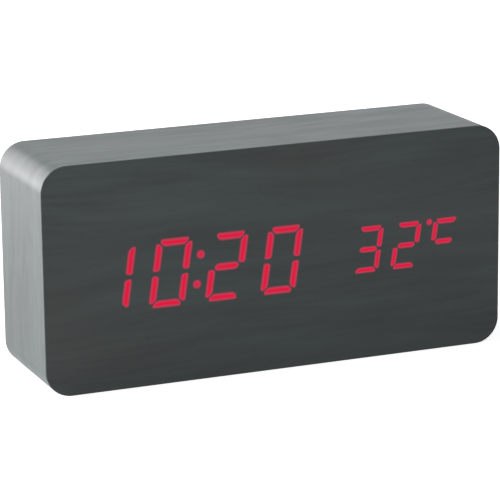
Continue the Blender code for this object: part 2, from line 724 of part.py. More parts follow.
def reach_of(style):
    """Half the width that a leaning figure takes up."""
    return style.width / 2 + style.stroke / 2 + SLANT_SHARE * (style.height + style.stroke) / 2


# Display window, and the places of the screws
WINDOW_LEFT = FIGURES[0].x - reach_of(TIME_STYLE) - DISPLAY_MARGIN
WINDOW_RIGHT = UNIT.x + reach_of(TEMP_STYLE) + DISPLAY_MARGIN
WINDOW_X = (WINDOW_LEFT + WINDOW_RIGHT) / 2
WINDOW_WIDTH = WINDOW_RIGHT - WINDOW_LEFT
WINDOW_HEIGHT = TIME_STYLE.height + TIME_STYLE.stroke + 2 * DISPLAY_MARGIN
WINDOW = (WINDOW_X, TIME_Z)
DISPLAY_SCREW_PLACES = [
    (WINDOW_X + x_side * (FLANGE_WIDTH / 2 - DISPLAY_SCREW_INSET),
     TIME_Z + z_side * (FLANGE_HEIGHT / 2 - DISPLAY_SCREW_INSET))
    for x_side in (-1, 1) for z_side in (-1, 1)
]
PANEL_SCREW_PLACES = [
    (x_side * PANEL_SCREW_X, MID_Z + z_side * PANEL_SCREW_Z) for x_side in (-1, 1) for z_side in (-1, 1)
]


def circles(radius, places):
    return [circle(radius, place) for place in places]


# Block and display

def build_case():
    case = outline_solid(
        "case", [rounded_rectangle(WIDTH, HEIGHT, CORNER_RADIUS, steps=CORNER_STEPS)],
        CASE_FRONT_Y, BACK_Y, "charcoal_film", (0, MID_Z),
    )
    wide = rectangle(CAVITY_WIDTH, CAVITY_HEIGHT - 2 * POST_SIDE)
    tall = rectangle(CAVITY_WIDTH - 2 * POST_SIDE, CAVITY_HEIGHT)
    hollows = [
        outline_solid(name, [outline], WALL_BACK_Y, BACK_Y + OVERRUN, None, (0, MID_Z))
        for name, outline in (("wide_cavity_cutter", wide), ("tall_cavity_cutter", tall))
    ]
    rebate = outline_solid(
        "rebate_cutter",
        [rounded_rectangle(PANEL_OPENING_WIDTH, PANEL_OPENING_HEIGHT, PANEL_OPENING_RADIUS)],
        REBATE_FLOOR_Y, BACK_Y + OVERRUN, None, (0, MID_Z),
    )
    window = outline_solid(
        "window_cutter", [rounded_rectangle(WINDOW_WIDTH, WINDOW_HEIGHT, WINDOW_RADIUS, WINDOW)],
        CASE_FRONT_Y - OVERRUN, WALL_BACK_Y + OVERRUN,
    )
    front_pilots = outline_solid(
        "front_pilot_cutter", circles(DISPLAY_SCREW.shank_radius + SLOT_CLEARANCE, DISPLAY_SCREW_PLACES),
        WALL_BACK_Y - DISPLAY_SCREW_BITE - CLEARANCE, WALL_BACK_Y + OVERRUN,
    )
    panel_pilots = outline_solid(
        "panel_pilot_cutter", circles(PANEL_SCREW.shank_radius + SLOT_CLEARANCE, PANEL_SCREW_PLACES),
        BACK_Y - PANEL_SCREW_LENGTH - CLEARANCE, REBATE_FLOOR_Y + OVERRUN,
    )
    cut(case, *hollows, rebate, window, front_pilots, panel_pilots)


def build_front_film():
    face = moved(rounded_rectangle(WIDTH, HEIGHT, CORNER_RADIUS, steps=CORNER_STEPS), (0, MID_Z))
    outline_solid(
        "front_film", [face, *lit_outlines(GLUE_GAP)], FRONT_Y, FRONT_Y + FILM_THICKNESS, "charcoal_film"
    )


def screw_holes(name, screw, places, front_y, back_y):
    return outline_solid(name, circles(screw.shank_radius + CLEARANCE, places), front_y, back_y)


def build_mask():
    mask = outline_solid(
        "display_mask", [rectangle(FLANGE_WIDTH, FLANGE_HEIGHT)],
        FLANGE_FRONT_Y, FLANGE_BACK_Y, "black_plastic", WINDOW,
    )
    face = outline_solid(
        "mask_face",
        [rounded_rectangle(WINDOW_WIDTH - 2 * CLEARANCE, WINDOW_HEIGHT - 2 * CLEARANCE, WINDOW_RADIUS)],
        CASE_FRONT_Y, FLANGE_FRONT_Y + FUSE, None, WINDOW,
    )
    slots = outline_solid(
        "slot_cutter", all_outlines(SLOT_CLEARANCE), CASE_FRONT_Y - OVERRUN, FLANGE_BACK_Y + OVERRUN
    )
    holes = screw_holes(
        "mask_hole_cutter", DISPLAY_SCREW, DISPLAY_SCREW_PLACES,
        FLANGE_FRONT_Y - OVERRUN, FLANGE_BACK_Y + OVERRUN,
    )
    fuse(mask, face)
    cut(mask, slots, holes)


def guide_web(left, right, height, centre):
    """Leaning plate that joins the bars of a figure."""
    half = height / 2
    corners = [(-left, -half), (right, -half), (right, half), (-left, half)]
    return moved(slanted(corners), centre)


def build_guide(name, web, lit, dark):
    guide = outline_solid(name, [web], WEB_FRONT_Y, WEB_BACK_Y, "red_diffuser")
    for title, outlines, front_y in (("lit", lit, FRONT_Y), ("dark", dark, CASE_FRONT_Y)):
        if outlines:
            fuse(guide, outline_solid(f"{name}_{title}", outlines, front_y, WEB_FRONT_Y + FUSE))


def build_guides():
    for figure in FIGURES:
        style = figure.style
        side = style.width / 2 + style.stroke / 2 + WEB_MARGIN
        left = side
        lit = figure_outlines(figure, figure.lit)
        dark = figure_outlines(figure, [bar for bar in ALL_BARS if bar not in figure.lit])
        if figure is UNIT:
            left = DEGREE_FROM_UNIT + DEGREE_RADIUS + WEB_MARGIN
            lit.append(degree_dot())
        height = style.height + style.stroke + 2 * WEB_MARGIN
        build_guide(figure.name, guide_web(left, side, height, (figure.x, figure.z)), lit, dark)
    side = COLON_RADIUS + WEB_MARGIN
    web = guide_web(side, side, 2 * (COLON_RISE + side), (COLON_X, TIME_Z))
    build_guide("colon_guide", web, colon_dots(), [])


def build_reflector():
    reflector = outline_solid(
        "display_reflector", [rectangle(FLANGE_WIDTH, FLANGE_HEIGHT)],
        REFLECTOR_FRONT_Y, REFLECTOR_BACK_Y, "white_plastic", WINDOW,
    )
    cells = outline_solid(
        "cell_cutter", pocket_outlines(lambda full: full * CELL_LENGTH_SHARE, CELL_WIDTH),
        REFLECTOR_FRONT_Y - OVERRUN, REFLECTOR_BACK_Y + OVERRUN,
    )
    holes = screw_holes(
        "reflector_hole_cutter", DISPLAY_SCREW, DISPLAY_SCREW_PLACES,
        REFLECTOR_FRONT_Y - OVERRUN, REFLECTOR_BACK_Y + OVERRUN,
    )
    cut(reflector, cells, holes)


def build_display_board():
    board = outline_solid(
        "display_board", [rectangle(FLANGE_WIDTH, FLANGE_HEIGHT)],
        BOARD_FRONT_Y, BOARD_BACK_Y, "board_green", WINDOW,
    )
    leds = outline_solid(
        "led_chips", pocket_outlines(lambda full: LED_LENGTH, LED_WIDTH),
        BOARD_FRONT_Y - LED_HEIGHT, BOARD_FRONT_Y + FUSE,
    )
    holes = screw_holes(
        "board_hole_cutter", DISPLAY_SCREW, DISPLAY_SCREW_PLACES,
        BOARD_FRONT_Y - OVERRUN, BOARD_BACK_Y + OVERRUN,
    )
    fuse(board, leds)
    cut(board, holes)


# Screws

def pan_screw(name, style, length, seat, rotation):
    """Pan-head screw whose head sits on the seat, with its tip the length away."""
    head, shank = style.head_radius, style.shank_radius
    profile = [
        (0, style.head_height),
        (head - 2 * HEAD_EDGE, style.head_height),
        (head, style.head_height - 2 * HEAD_EDGE),
        (head, 0),
        (shank, 0),
        (shank, TIP_LENGTH - length),
        (0, -length),
    ]
    turned(name, profile, seat, rotation, "zinc_steel", SMALL_SIDES)


def build_display_screws():
    seat_y = MOUNT_Y
    length = seat_y - (WALL_BACK_Y - DISPLAY_SCREW_BITE)
    for number, (x, z) in enumerate(DISPLAY_SCREW_PLACES, 1):
        pan_screw(f"display_screw_{number}", DISPLAY_SCREW, length, (x, seat_y, z), BACKWARD)


def build_panel_screws():
    """Countersunk screws with a cross recess, flush with the back."""
    head, shank = PANEL_SCREW.head_radius, PANEL_SCREW.shank_radius
    profile = [
        (0, 0),
        (head, 0),
        (head, -HEAD_EDGE),
        (shank, -PANEL_SCREW.head_height),
        (shank, TIP_LENGTH - PANEL_SCREW_LENGTH),
        (0, -PANEL_SCREW_LENGTH),
    ]
    recesses = [
        outline_solid(
            name, [rectangle(*arm, place) for place in PANEL_SCREW_PLACES],
            BACK_Y - RECESS_DEPTH, BACK_Y + OVERRUN,
        )
        for name, arm in (
            ("level_recess_cutter", (RECESS_LENGTH, RECESS_WIDTH)),
            ("upright_recess_cutter", (RECESS_WIDTH, RECESS_LENGTH)),
        )
    ]
    for number, (x, z) in enumerate(PANEL_SCREW_PLACES, 1):
        screw = turned(f"panel_screw_{number}", profile, (x, BACK_Y, z), BACKWARD, "zinc_steel")
        cut(screw, *recesses)


# Electronics behind the display

def build_chip(name, length, x):
    """Flat chip with a row of pins down each side."""
    body_y = MOUNT_Y + PIN_THICKNESS / 2
    chip = box(
        name, (CHIP_WIDTH, CHIP_HEIGHT, length), (x, body_y + CHIP_HEIGHT / 2, MID_Z), "chip_black"
    )
    count = int(length / PIN_PITCH)
    pins = [
        rectangle(CHIP_SPAN, PIN_WIDTH, (0, PIN_PITCH * (row - (count - 1) / 2))) for row in range(count)
    ]
    fuse(chip, outline_solid(
        f"{name}_pins", pins, MOUNT_Y, MOUNT_Y + PIN_THICKNESS, None, (x, MID_Z)
    ))


def build_electronics():
    build_chip("clock_chip", CLOCK_CHIP_LENGTH, CLOCK_CHIP_X)
    build_chip("led_driver_chip", DRIVER_CHIP_LENGTH, DRIVER_CHIP_X)
    rod(
        "clock_crystal", CRYSTAL_RADIUS, CRYSTAL_LENGTH,
        (CRYSTAL_X, MOUNT_Y + CRYSTAL_RADIUS, MID_Z - CRYSTAL_DROP), (0, 0, 0), "zinc_steel",
    )
    sound_hole = [(0, BUZZER_HEIGHT / 2), (BUZZER_HOLE, BUZZER_HEIGHT / 2), (BUZZER_HOLE, BUZZER_HEIGHT)]
    turned(
        "buzzer",
        [*sound_hole, (BUZZER_RADIUS - HEAD_EDGE, BUZZER_HEIGHT),
         (BUZZER_RADIUS, BUZZER_HEIGHT - HEAD_EDGE), (BUZZER_RADIUS, 0), (0, 0)],
        (BUZZER_X, MOUNT_Y, MID_Z + BUZZER_RISE), BACKWARD, "black_plastic",
    )
    turned(
        "filter_capacitor",
        [(0, CAPACITOR_HEIGHT), (CAPACITOR_RADIUS - HEAD_EDGE, CAPACITOR_HEIGHT),
         (CAPACITOR_RADIUS, CAPACITOR_HEIGHT - HEAD_EDGE), (CAPACITOR_RADIUS, 0), (0, 0)],
        (CAPACITOR_X, MOUNT_Y, MID_Z - CAPACITOR_DROP), BACKWARD, "black_sleeve", SMALL_SIDES,
    )
    build_coin_cell()


def build_coin_cell():
    cell_y = MOUNT_Y + COIN_HOLDER_FLOOR + GLUE_GAP
    rim = COIN_RADIUS - COIN_RIM
    turned(
        "backup_coin_cell",
        [(0, COIN_HEIGHT), (COIN_RADIUS, COIN_HEIGHT), (COIN_RADIUS, HEAD_EDGE), (rim, HEAD_EDGE),
         (rim, 0), (0, 0)],
        (COIN_X, cell_y, MID_Z), BACKWARD, "zinc_steel",
    )
    inner = COIN_RADIUS + CLEARANCE
    outer = inner + COIN_HOLDER_WALL
    holder = turned(
        "coin_cell_holder",
        [(0, COIN_HOLDER_FLOOR), (inner, COIN_HOLDER_FLOOR), (inner, COIN_HEIGHT), (outer, COIN_HEIGHT),
         (outer, 0), (0, 0)],
        (COIN_X, MOUNT_Y, MID_Z), BACKWARD, "black_plastic",
    )
    mouth = box(
        "holder_mouth_cutter", (COIN_HOLDER_MOUTH, COIN_HEIGHT, 2 * COIN_HOLDER_WALL + CLEARANCE),
        (COIN_X, MOUNT_Y + COIN_HOLDER_FLOOR + COIN_HEIGHT / 2 + GLUE_GAP, MID_Z - outer),
    )
    cut(holder, mouth)


# Back panel and controls

SCOOP_X = BOX_X + BOX_WIDTH / 2
PLATE_PLACE = (CONTROL_X, MID_Z)
BUTTON_NAMES = ("set_button", "up_button", "down_button")
BUTTON_XS = [FIRST_BUTTON_X + BUTTON_PITCH * place for place in range(len(BUTTON_NAMES))]


def scoop_cutter(name):
    """Finger scoop beside the free edge of the battery door."""
    return outline_solid(
        name, [rounded_rectangle(SCOOP_WIDTH, SCOOP_LENGTH, WINDOW_RADIUS)],
        BACK_Y - SCOOP_DEPTH, BACK_Y + OVERRUN, None, (SCOOP_X, MID_Z),
    )


def build_back_panel():
    outline = rounded_rectangle(
        PANEL_OPENING_WIDTH - 2 * CLEARANCE, PANEL_OPENING_HEIGHT - 2 * CLEARANCE,
        PANEL_OPENING_RADIUS - CLEARANCE, (0, MID_Z), CORNER_STEPS,
    )
    battery_opening = rectangle(BOX_WIDTH + 2 * CLEARANCE, BOX_HEIGHT + 2 * CLEARANCE, (BOX_X, MID_Z))
    control_opening = rectangle(PLATE_WIDTH - 2 * PLATE_LEDGE, PLATE_HEIGHT - 2 * PLATE_LEDGE, PLATE_PLACE)
    small_holes = circles(PANEL_SCREW.shank_radius + CLEARANCE, PANEL_SCREW_PLACES)
    for count, z in ((UPPER_HOLE_COUNT, HEIGHT - HOLES_FROM_EDGE), (LOWER_HOLE_COUNT, HOLES_FROM_EDGE)):
        first_x = BUZZER_X - HOLE_PITCH * (count - 1) / 2
        places = [(first_x + HOLE_PITCH * place, z) for place in range(count)]
        small_holes += [circle(HOLE_RADIUS, place, VENT_SIDES) for place in places]
    panel = outline_solid(
        "back_panel", [outline, battery_opening, control_opening], PANEL_FRONT_Y, BACK_Y, "charcoal_film"
    )
    holes = outline_solid(
        "panel_hole_cutter", small_holes, PANEL_FRONT_Y - OVERRUN, BACK_Y + OVERRUN
    )
    pocket = outline_solid(
        "control_pocket_cutter",
        [rounded_rectangle(PLATE_WIDTH + 2 * CLEARANCE, PLATE_HEIGHT + 2 * CLEARANCE, PLATE_RADIUS)],
        PLATE_FRONT_Y - GLUE_GAP, BACK_Y + OVERRUN, None, PLATE_PLACE,
    )
    cut(panel, pocket, holes, scoop_cutter("panel_scoop_cutter"))
    head = PANEL_SCREW.head_radius + SLOT_CLEARANCE
    shank = PANEL_SCREW.shank_radius + SLOT_CLEARANCE
    for number, (x, z) in enumerate(PANEL_SCREW_PLACES, 1):
        countersink = turned(
            f"countersink_cutter_{number}",
            [(0, OVERRUN), (head, OVERRUN), (head, -HEAD_EDGE), (shank, -PANEL_SCREW.head_height),
             (0, -PANEL_SCREW.head_height)],
            (x, BACK_Y, z), BACKWARD, None,
        )
        cut(panel, countersink)


def build_control_plate():
    plate = outline_solid(
        "control_plate", [rounded_rectangle(PLATE_WIDTH, PLATE_HEIGHT, PLATE_RADIUS)],
        PLATE_FRONT_Y, PLATE_BACK_Y, "black_plastic", PLATE_PLACE,
    )
    places = [(CONTROL_X + side * BOSS_FROM_MIDDLE, MID_Z) for side in (-1, 1)]
    bosses = outline_solid(
        "control_bosses", circles(BOSS_RADIUS, places), CONTROL_BACK_Y + GLUE_GAP, PLATE_FRONT_Y + FUSE
    )
    pilots = outline_solid(
        "boss_pilot_cutter", circles(CONTROL_SCREW.shank_radius + SLOT_CLEARANCE, places),
        CONTROL_BACK_Y - OVERRUN, CONTROL_BACK_Y + BOSS_PILOT_DEPTH,
    )
    holes = [circle(BUTTON_RADIUS + CLEARANCE, (x, MID_Z), ROUND_SIDES) for x in BUTTON_XS]
    holes.append(circle(JACK_NOSE_RADIUS + CLEARANCE, (JACK_X, MID_Z), ROUND_SIDES))
    openings = outline_solid(
        "control_hole_cutter", holes, PLATE_FRONT_Y - OVERRUN, PLATE_BACK_Y + OVERRUN
    )
    fuse(plate, bosses)
    cut(plate, pilots, openings)
    outline_solid(
        "control_board",
        [rectangle(CONTROL_BOARD_WIDTH, CONTROL_BOARD_HEIGHT, PLATE_PLACE),
         *circles(CONTROL_SCREW.shank_radius + CLEARANCE, places)],
        CONTROL_FRONT_Y, CONTROL_BACK_Y, "board_green",
    )
    seat_y = CONTROL_FRONT_Y - GLUE_GAP
    length = CONTROL_BACK_Y + BOSS_PILOT_DEPTH - CLEARANCE - seat_y
    for number, (x, z) in enumerate(places, 1):
        pan_screw(f"control_screw_{number}", CONTROL_SCREW, length, (x, seat_y, z), FORWARD)


def build_buttons():
    top = BUTTON_RISE + PLATE_BACK_Y - STEM_END_Y
    flange_top = BUTTON_FLANGE_BACK_Y - STEM_END_Y
    cap = [
        (0, top),
        (BUTTON_RADIUS - BUTTON_EDGE, top),
        (BUTTON_RADIUS, top - BUTTON_EDGE),
        (BUTTON_RADIUS, flange_top),
        (BUTTON_FLANGE_RADIUS, flange_top),
        (BUTTON_FLANGE_RADIUS, flange_top - BUTTON_FLANGE),
        (STEM_RADIUS, flange_top - BUTTON_FLANGE),
        (STEM_RADIUS, 0),
        (0, 0),
    ]
    for name, x in zip(BUTTON_NAMES, BUTTON_XS, strict=True):
        turned(name, cap, (x, STEM_END_Y, MID_Z), BACKWARD, "black_plastic")
        plunger_y = PLUNGER_BACK_Y - PLUNGER_LENGTH / 2
        rod(f"{name}_plunger", PLUNGER_RADIUS, PLUNGER_LENGTH, (x, plunger_y, MID_Z), BACKWARD,
            "white_plastic")
        housing = box(
            f"{name}_switch", (SWITCH_SIDE, SWITCH_HEIGHT, SWITCH_SIDE),
            (x, (SWITCH_FRONT_Y + SWITCH_BACK_Y) / 2, MID_Z), "black_plastic",
        )
        well_bottom = PLUNGER_BACK_Y - PLUNGER_LENGTH - PLUNGER_ROOM
        well = rod(
            f"{name}_well_cutter", PLUNGER_RADIUS + CLEARANCE, SWITCH_BACK_Y + OVERRUN - well_bottom,
            (x, (well_bottom + SWITCH_BACK_Y + OVERRUN) / 2, MID_Z), BACKWARD,
        )
        cut(housing, well)


def build_jack():
    """Jack for a plug of 3.5 mm, standing on the control board."""
    front_y = CONTROL_BACK_Y + GLUE_GAP
    shoulder_y = PLATE_FRONT_Y - BUTTON_SEAT_GAP
    jack = box(
        "dc_jack", (JACK_SIDE, shoulder_y - front_y, JACK_SIDE),
        (JACK_X, (front_y + shoulder_y) / 2, MID_Z), "black_plastic",
    )
    place = (JACK_X, MID_Z)
    nose = outline_solid(
        "jack_nose", [circle(JACK_NOSE_RADIUS, place, ROUND_SIDES)], shoulder_y - FUSE, PLATE_BACK_Y
    )
    bore = outline_solid(
        "jack_bore_cutter", [circle(JACK_BORE_RADIUS, place, ROUND_SIDES)],
        front_y + JACK_FLOOR, PLATE_BACK_Y + OVERRUN,
    )
    fuse(jack, nose)
    cut(jack, bore)
    pin_start = front_y + JACK_FLOOR + GLUE_GAP
    pin_end = PLATE_BACK_Y - JACK_PIN_SET_BACK
    rod("dc_jack_pin", JACK_PIN_RADIUS, pin_end - pin_start, (JACK_X, (pin_start + pin_end) / 2, MID_Z),
        BACKWARD, "zinc_steel")


def build_sensor():
    """Temperature sensor: a half-round body on the front of the control board."""
    back_y = CONTROL_FRONT_Y - GLUE_GAP
    sensor = rod(
        "temperature_sensor", SENSOR_RADIUS, SENSOR_HEIGHT,
        (SENSOR_X, back_y - SENSOR_HEIGHT / 2, MID_Z), BACKWARD, "chip_black",
        ROUND_SIDES,
    )
    flat = box(
        "sensor_flat_cutter", (2 * SENSOR_RADIUS + OVERRUN, SENSOR_HEIGHT + OVERRUN, SENSOR_RADIUS),
        (SENSOR_X, back_y - SENSOR_HEIGHT / 2,
         MID_Z + SENSOR_FLAT + SENSOR_RADIUS / 2),
    )
    cut(sensor, flat)


# Battery supply

CELL_ZS = [MID_Z + CELL_PITCH * ((CELL_COUNT - 1) / 2 - place) for place in range(CELL_COUNT)]
CELL_SIDES = [-1 if place % 2 == 0 else 1 for place in range(CELL_COUNT)]
CONTACT_FROM_MIDDLE = BOX_INNER_WIDTH / 2 - GLUE_GAP - CONTACT_THICKNESS / 2
TAB_X = BOX_X - CONTACT_FROM_MIDDLE
TAB_END_Y = BOX_FRONT_Y - TAB_SHOWN
TAB_ZS = (CELL_ZS[0], CELL_ZS[-1])


def build_battery_box():
    place = (BOX_X, MID_Z)
    tray = outline_solid(
        "battery_box", [rounded_rectangle(BOX_WIDTH, BOX_HEIGHT, BOX_RADIUS)],
        BOX_FRONT_Y, BACK_Y, "black_plastic", place,
    )
    flange = outline_solid(
        "box_flange",
        [rectangle(BOX_FLANGE_WIDTH, BOX_FLANGE_HEIGHT)],
        BOX_FLANGE_BACK_Y - BOX_WALL, BOX_FLANGE_BACK_Y, None, place,
    )
    well = outline_solid(
        "box_well_cutter", [rectangle(BOX_INNER_WIDTH, BOX_INNER_HEIGHT)],
        BOX_FLOOR_Y, BACK_Y + OVERRUN, None, place,
    )
    recess = outline_solid(
        "door_recess_cutter", [rectangle(DOOR_RECESS_WIDTH, DOOR_RECESS_HEIGHT)],
        LEDGE_Y, BACK_Y + OVERRUN, None, place,
    )
    pin_room = HINGE_PIN_RADIUS + CLEARANCE / 2
    pin_notch = box(
        "hinge_notch_cutter",
        (2 * pin_room, BACK_Y + OVERRUN - HINGE_Y + pin_room,
         DOOR_HEIGHT + 2 * HINGE_PIN_REACH + CLEARANCE),
        (HINGE_X, (HINGE_Y - pin_room + BACK_Y + OVERRUN) / 2, MID_Z),
    )
    tab_slots = outline_solid(
        "tab_slot_cutter",
        [rectangle(CONTACT_THICKNESS + 2 * CLEARANCE, TAB_WIDTH + 2 * CLEARANCE, (TAB_X, z))
         for z in TAB_ZS],
        BOX_FRONT_Y - OVERRUN, BOX_FLOOR_Y + OVERRUN,
    )
    rib_zs = [(upper + lower) / 2 for upper, lower in zip(CELL_ZS, CELL_ZS[1:])]
    ribs = outline_solid(
        "cell_ribs", [rectangle(BOX_INNER_WIDTH / 2, RIB_WIDTH, (BOX_X, z)) for z in rib_zs],
        BOX_FLOOR_Y - FUSE, BOX_FLOOR_Y + RIB_HEIGHT,
    )
    fuse(tray, flange)
    cut(tray, well, recess, pin_notch, tab_slots, scoop_cutter("box_scoop_cutter"))
    fuse(tray, ribs)


def build_battery_door():
    """Door that turns on two pins along its left edge."""
    work = bmesh.new()
    bmesh.ops.create_cube(work, size=1)
    bmesh.ops.scale(work, vec=(DOOR_WIDTH, DOOR_THICKNESS, DOOR_HEIGHT), verts=work.verts)
    bmesh.ops.translate(work, vec=(BOX_X - HINGE_X, 0, 0), verts=work.verts)
    round_edges = [
        edge for edge in work.edges
        if all(vert.co.x < 0 for vert in edge.verts)
        and abs(edge.verts[0].co.z - edge.verts[1].co.z) > DOOR_THICKNESS
    ]
    bmesh.ops.bevel(
        work, geom=round_edges, offset=DOOR_THICKNESS / 2 - GLUE_GAP / 2, segments=CORNER_STEPS,
        affect="EDGES", profile=0.5, material=-1,
    )
    door = add_object(
        "battery_door", mesh_from(work, "battery_door"), "black_plastic", (HINGE_X, HINGE_Y, MID_Z)
    )
    pins = rod(
        "hinge_pins", HINGE_PIN_RADIUS, DOOR_HEIGHT + 2 * HINGE_PIN_REACH,
        (HINGE_X, HINGE_Y, MID_Z), (0, 0, 0),
    )
    free_x = BOX_X + DOOR_WIDTH / 2
    slit_x = free_x - TONGUE_LENGTH / 2
    slits = outline_solid(
        "tongue_slit_cutter",
        [rectangle(
            TONGUE_LENGTH + OVERRUN, SLIT_WIDTH, (slit_x + OVERRUN / 2, MID_Z + side * TONGUE_WIDTH / 2)
        ) for side in (-1, 1)],
        DOOR_FRONT_Y - OVERRUN, BACK_Y + OVERRUN,
    )
    groove_pitch = TONGUE_LENGTH / (GROOVE_COUNT + 1)
    grooves = outline_solid(
        "tongue_groove_cutter",
        [rectangle(SLIT_WIDTH, TONGUE_WIDTH / 2, (free_x - groove_pitch * (place + 1), MID_Z))
         for place in range(GROOVE_COUNT)],
        BACK_Y - GROOVE_DEPTH, BACK_Y + OVERRUN,
    )
    fuse(door, pins)
    cut(door, slits, grooves)


def build_cells():
    """AAA cells on their sides, with every second one turned round."""
    half = CELL_LENGTH / 2
    radius = CELL_DIAMETER / 2
    edge = SLEEVE_EDGE
    profile = [
        (0, half),
        (NUB_RADIUS, half),
        (NUB_RADIUS, half - NUB_HEIGHT),
        (radius - edge, half - NUB_HEIGHT),
        (radius, half - NUB_HEIGHT - edge),
        (radius, edge - half),
        (radius - edge, -half),
        (0, -half),
    ]
    for number, (z, side) in enumerate(zip(CELL_ZS, CELL_SIDES, strict=True), 1):
        from_middle = BOX_INNER_WIDTH / 2 - 2 * GLUE_GAP - CONTACT_THICKNESS - half
        turned(
            f"aaa_cell_{number}", profile, (BOX_X + side * from_middle, CELL_Y, z),
            (0, side * math.pi / 2, 0), "cell_sleeve",
        )


def contact_spring(name, x, side, z):
    """Conical spring that leaves the contact plate towards the middle of the box."""
    steps = round(SPRING_TURNS * SPRING_STEPS)
    route = []
    for step in range(steps + 1):
        share = step / steps
        turn = 2 * math.pi * SPRING_TURNS * share
        radius = SPRING_BASE_RADIUS + (SPRING_TIP_RADIUS - SPRING_BASE_RADIUS) * share
        reach = (SPRING_LENGTH - SPRING_WIRE_RADIUS) * share
        route.append((x - side * reach, CELL_Y + radius * math.cos(turn), z + radius * math.sin(turn)))
    return wire_mesh(name, route, SPRING_WIRE_RADIUS)


def build_contact(name, side, places):
    """Plate against one end of the box, with a spring or a dimple for each cell that it serves."""
    x = BOX_X + side * CONTACT_FROM_MIDDLE
    zs = [CELL_ZS[place] for place in places]
    height = max(zs) - min(zs) + CONTACT_SIDE
    plate = box(
        name, (CONTACT_THICKNESS, CONTACT_SIDE, height), (x, CELL_Y, (max(zs) + min(zs)) / 2), "spring_steel"
    )
    for place in places:
        z = CELL_ZS[place]
        if CELL_SIDES[place] != side:
            fuse(plate, contact_spring(f"{name}_spring_{place}", x, side, z))
    if len(places) == 1:
        length = CELL_Y - TAB_END_Y
        fuse(plate, box(
            f"{name}_tab", (CONTACT_THICKNESS, length, TAB_WIDTH), (x, CELL_Y - length / 2, zs[0])
        ))


def build_contacts():
    build_contact("contact_plus", -1, [0])
    build_contact("contact_link_1", 1, [0, 1])
    build_contact("contact_link_2", -1, [1, 2])
    build_contact("contact_link_3", 1, [2, 3])
    build_contact("contact_minus", -1, [3])


# Leads

def build_leads():
    """Battery leads and the control cable, each from its solder point to the display board."""
    end_y = MOUNT_Y + CLEARANCE
    start_y = TAB_END_Y - CLEARANCE
    for name, finish, z, way in (
        ("battery_lead_red", "red_sleeve", TAB_ZS[0], -1),
        ("battery_lead_black", "black_sleeve", TAB_ZS[1], 1),
    ):
        route = [
            (TAB_X, start_y, z),
            (TAB_X, start_y - LEAD_DROP, z),
            (TAB_X + LEAD_RUN / 2, (start_y + end_y) / 2, z + way * LEAD_RUN / 2),
            (TAB_X + LEAD_RUN, end_y + LEAD_DROP, z + way * LEAD_RUN),
            (TAB_X + LEAD_RUN, end_y, z + way * LEAD_RUN),
        ]
        tube(name, smooth_route(route, 3), LEAD_RADIUS, finish)
    start_y = CONTROL_FRONT_Y - CLEARANCE
    route = [
        (CABLE_X, start_y, MID_Z),
        (CABLE_X, start_y - LEAD_DROP, MID_Z),
        (CABLE_X + CABLE_SWAY, (start_y + end_y) / 2, MID_Z - CABLE_SWAY),
        (CABLE_X, end_y + LEAD_DROP, MID_Z),
        (CABLE_X, end_y, MID_Z),
    ]
    tube("control_cable", smooth_route(route, 3), CABLE_RADIUS, "black_sleeve")


build_case()
build_front_film()
build_mask()
build_guides()
build_reflector()
build_display_board()
build_display_screws()
build_electronics()
build_back_panel()
build_panel_screws()
build_control_plate()
build_buttons()
build_jack()
build_sensor()
build_battery_box()
build_battery_door()
build_cells()
build_contacts()
build_leads()
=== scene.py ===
import json
import math

import bmesh
import bpy
from mathutils import Matrix, Vector


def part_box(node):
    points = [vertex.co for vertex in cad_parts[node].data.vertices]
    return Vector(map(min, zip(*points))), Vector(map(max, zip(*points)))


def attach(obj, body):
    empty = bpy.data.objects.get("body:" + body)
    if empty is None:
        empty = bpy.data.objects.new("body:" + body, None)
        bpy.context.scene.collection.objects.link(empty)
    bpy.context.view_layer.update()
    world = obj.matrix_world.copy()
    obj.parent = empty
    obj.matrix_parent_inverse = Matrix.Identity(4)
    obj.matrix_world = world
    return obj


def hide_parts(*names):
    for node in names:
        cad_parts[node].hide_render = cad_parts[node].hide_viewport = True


# Looks of the digital alarm clock: a charcoal wood-grain block whose red figures shine through its front.
# Sizes are in millimetres unless a name says otherwise, and colours are sRGB hex.
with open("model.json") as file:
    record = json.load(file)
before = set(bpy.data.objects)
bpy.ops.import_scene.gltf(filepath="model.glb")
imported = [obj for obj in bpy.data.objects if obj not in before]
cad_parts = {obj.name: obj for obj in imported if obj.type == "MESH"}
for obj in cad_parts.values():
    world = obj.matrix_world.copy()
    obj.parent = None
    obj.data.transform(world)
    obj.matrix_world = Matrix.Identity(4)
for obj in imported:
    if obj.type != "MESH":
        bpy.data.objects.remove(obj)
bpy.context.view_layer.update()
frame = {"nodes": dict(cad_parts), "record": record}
mm = 0.001
mergeGap = 0.002     # points closer than this are one point
print("frame loaded:", len(frame["nodes"]), "nodes")


def linearColour(hexColour):
    channels = [int(hexColour[place:place + 2], 16) / 255 for place in (0, 2, 4)]
    return (*[c / 12.92 if c <= 0.04045 else ((c + 0.055) / 1.055) ** 2.4 for c in channels], 1.0)


# Lowest and highest corners of a CAD node
def boxOf(node):
    low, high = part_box(node)
    return low / mm, high / mm


# Adds a node with its settings and links and returns one output; an input is named, or numbered as in i0
def addNode(tree, kind, settings=None, output=0, **inputs):
    node = tree.nodes.new("ShaderNode" + kind)
    for key, value in (settings or {}).items():
        setattr(node, key, value)
    for key, value in inputs.items():
        socket = node.inputs[int(key[1:]) if key[1:].isdigit() else key.replace("_", " ")]
        if isinstance(value, bpy.types.NodeSocket):
            tree.links.new(value, socket)
        else:
            socket.default_value = value
    return node.outputs[output] if node.outputs else node


def newMaterial(name):
    material = bpy.data.materials.new(name)
    material.use_nodes = True
    material.node_tree.nodes.clear()
    return material, material.node_tree


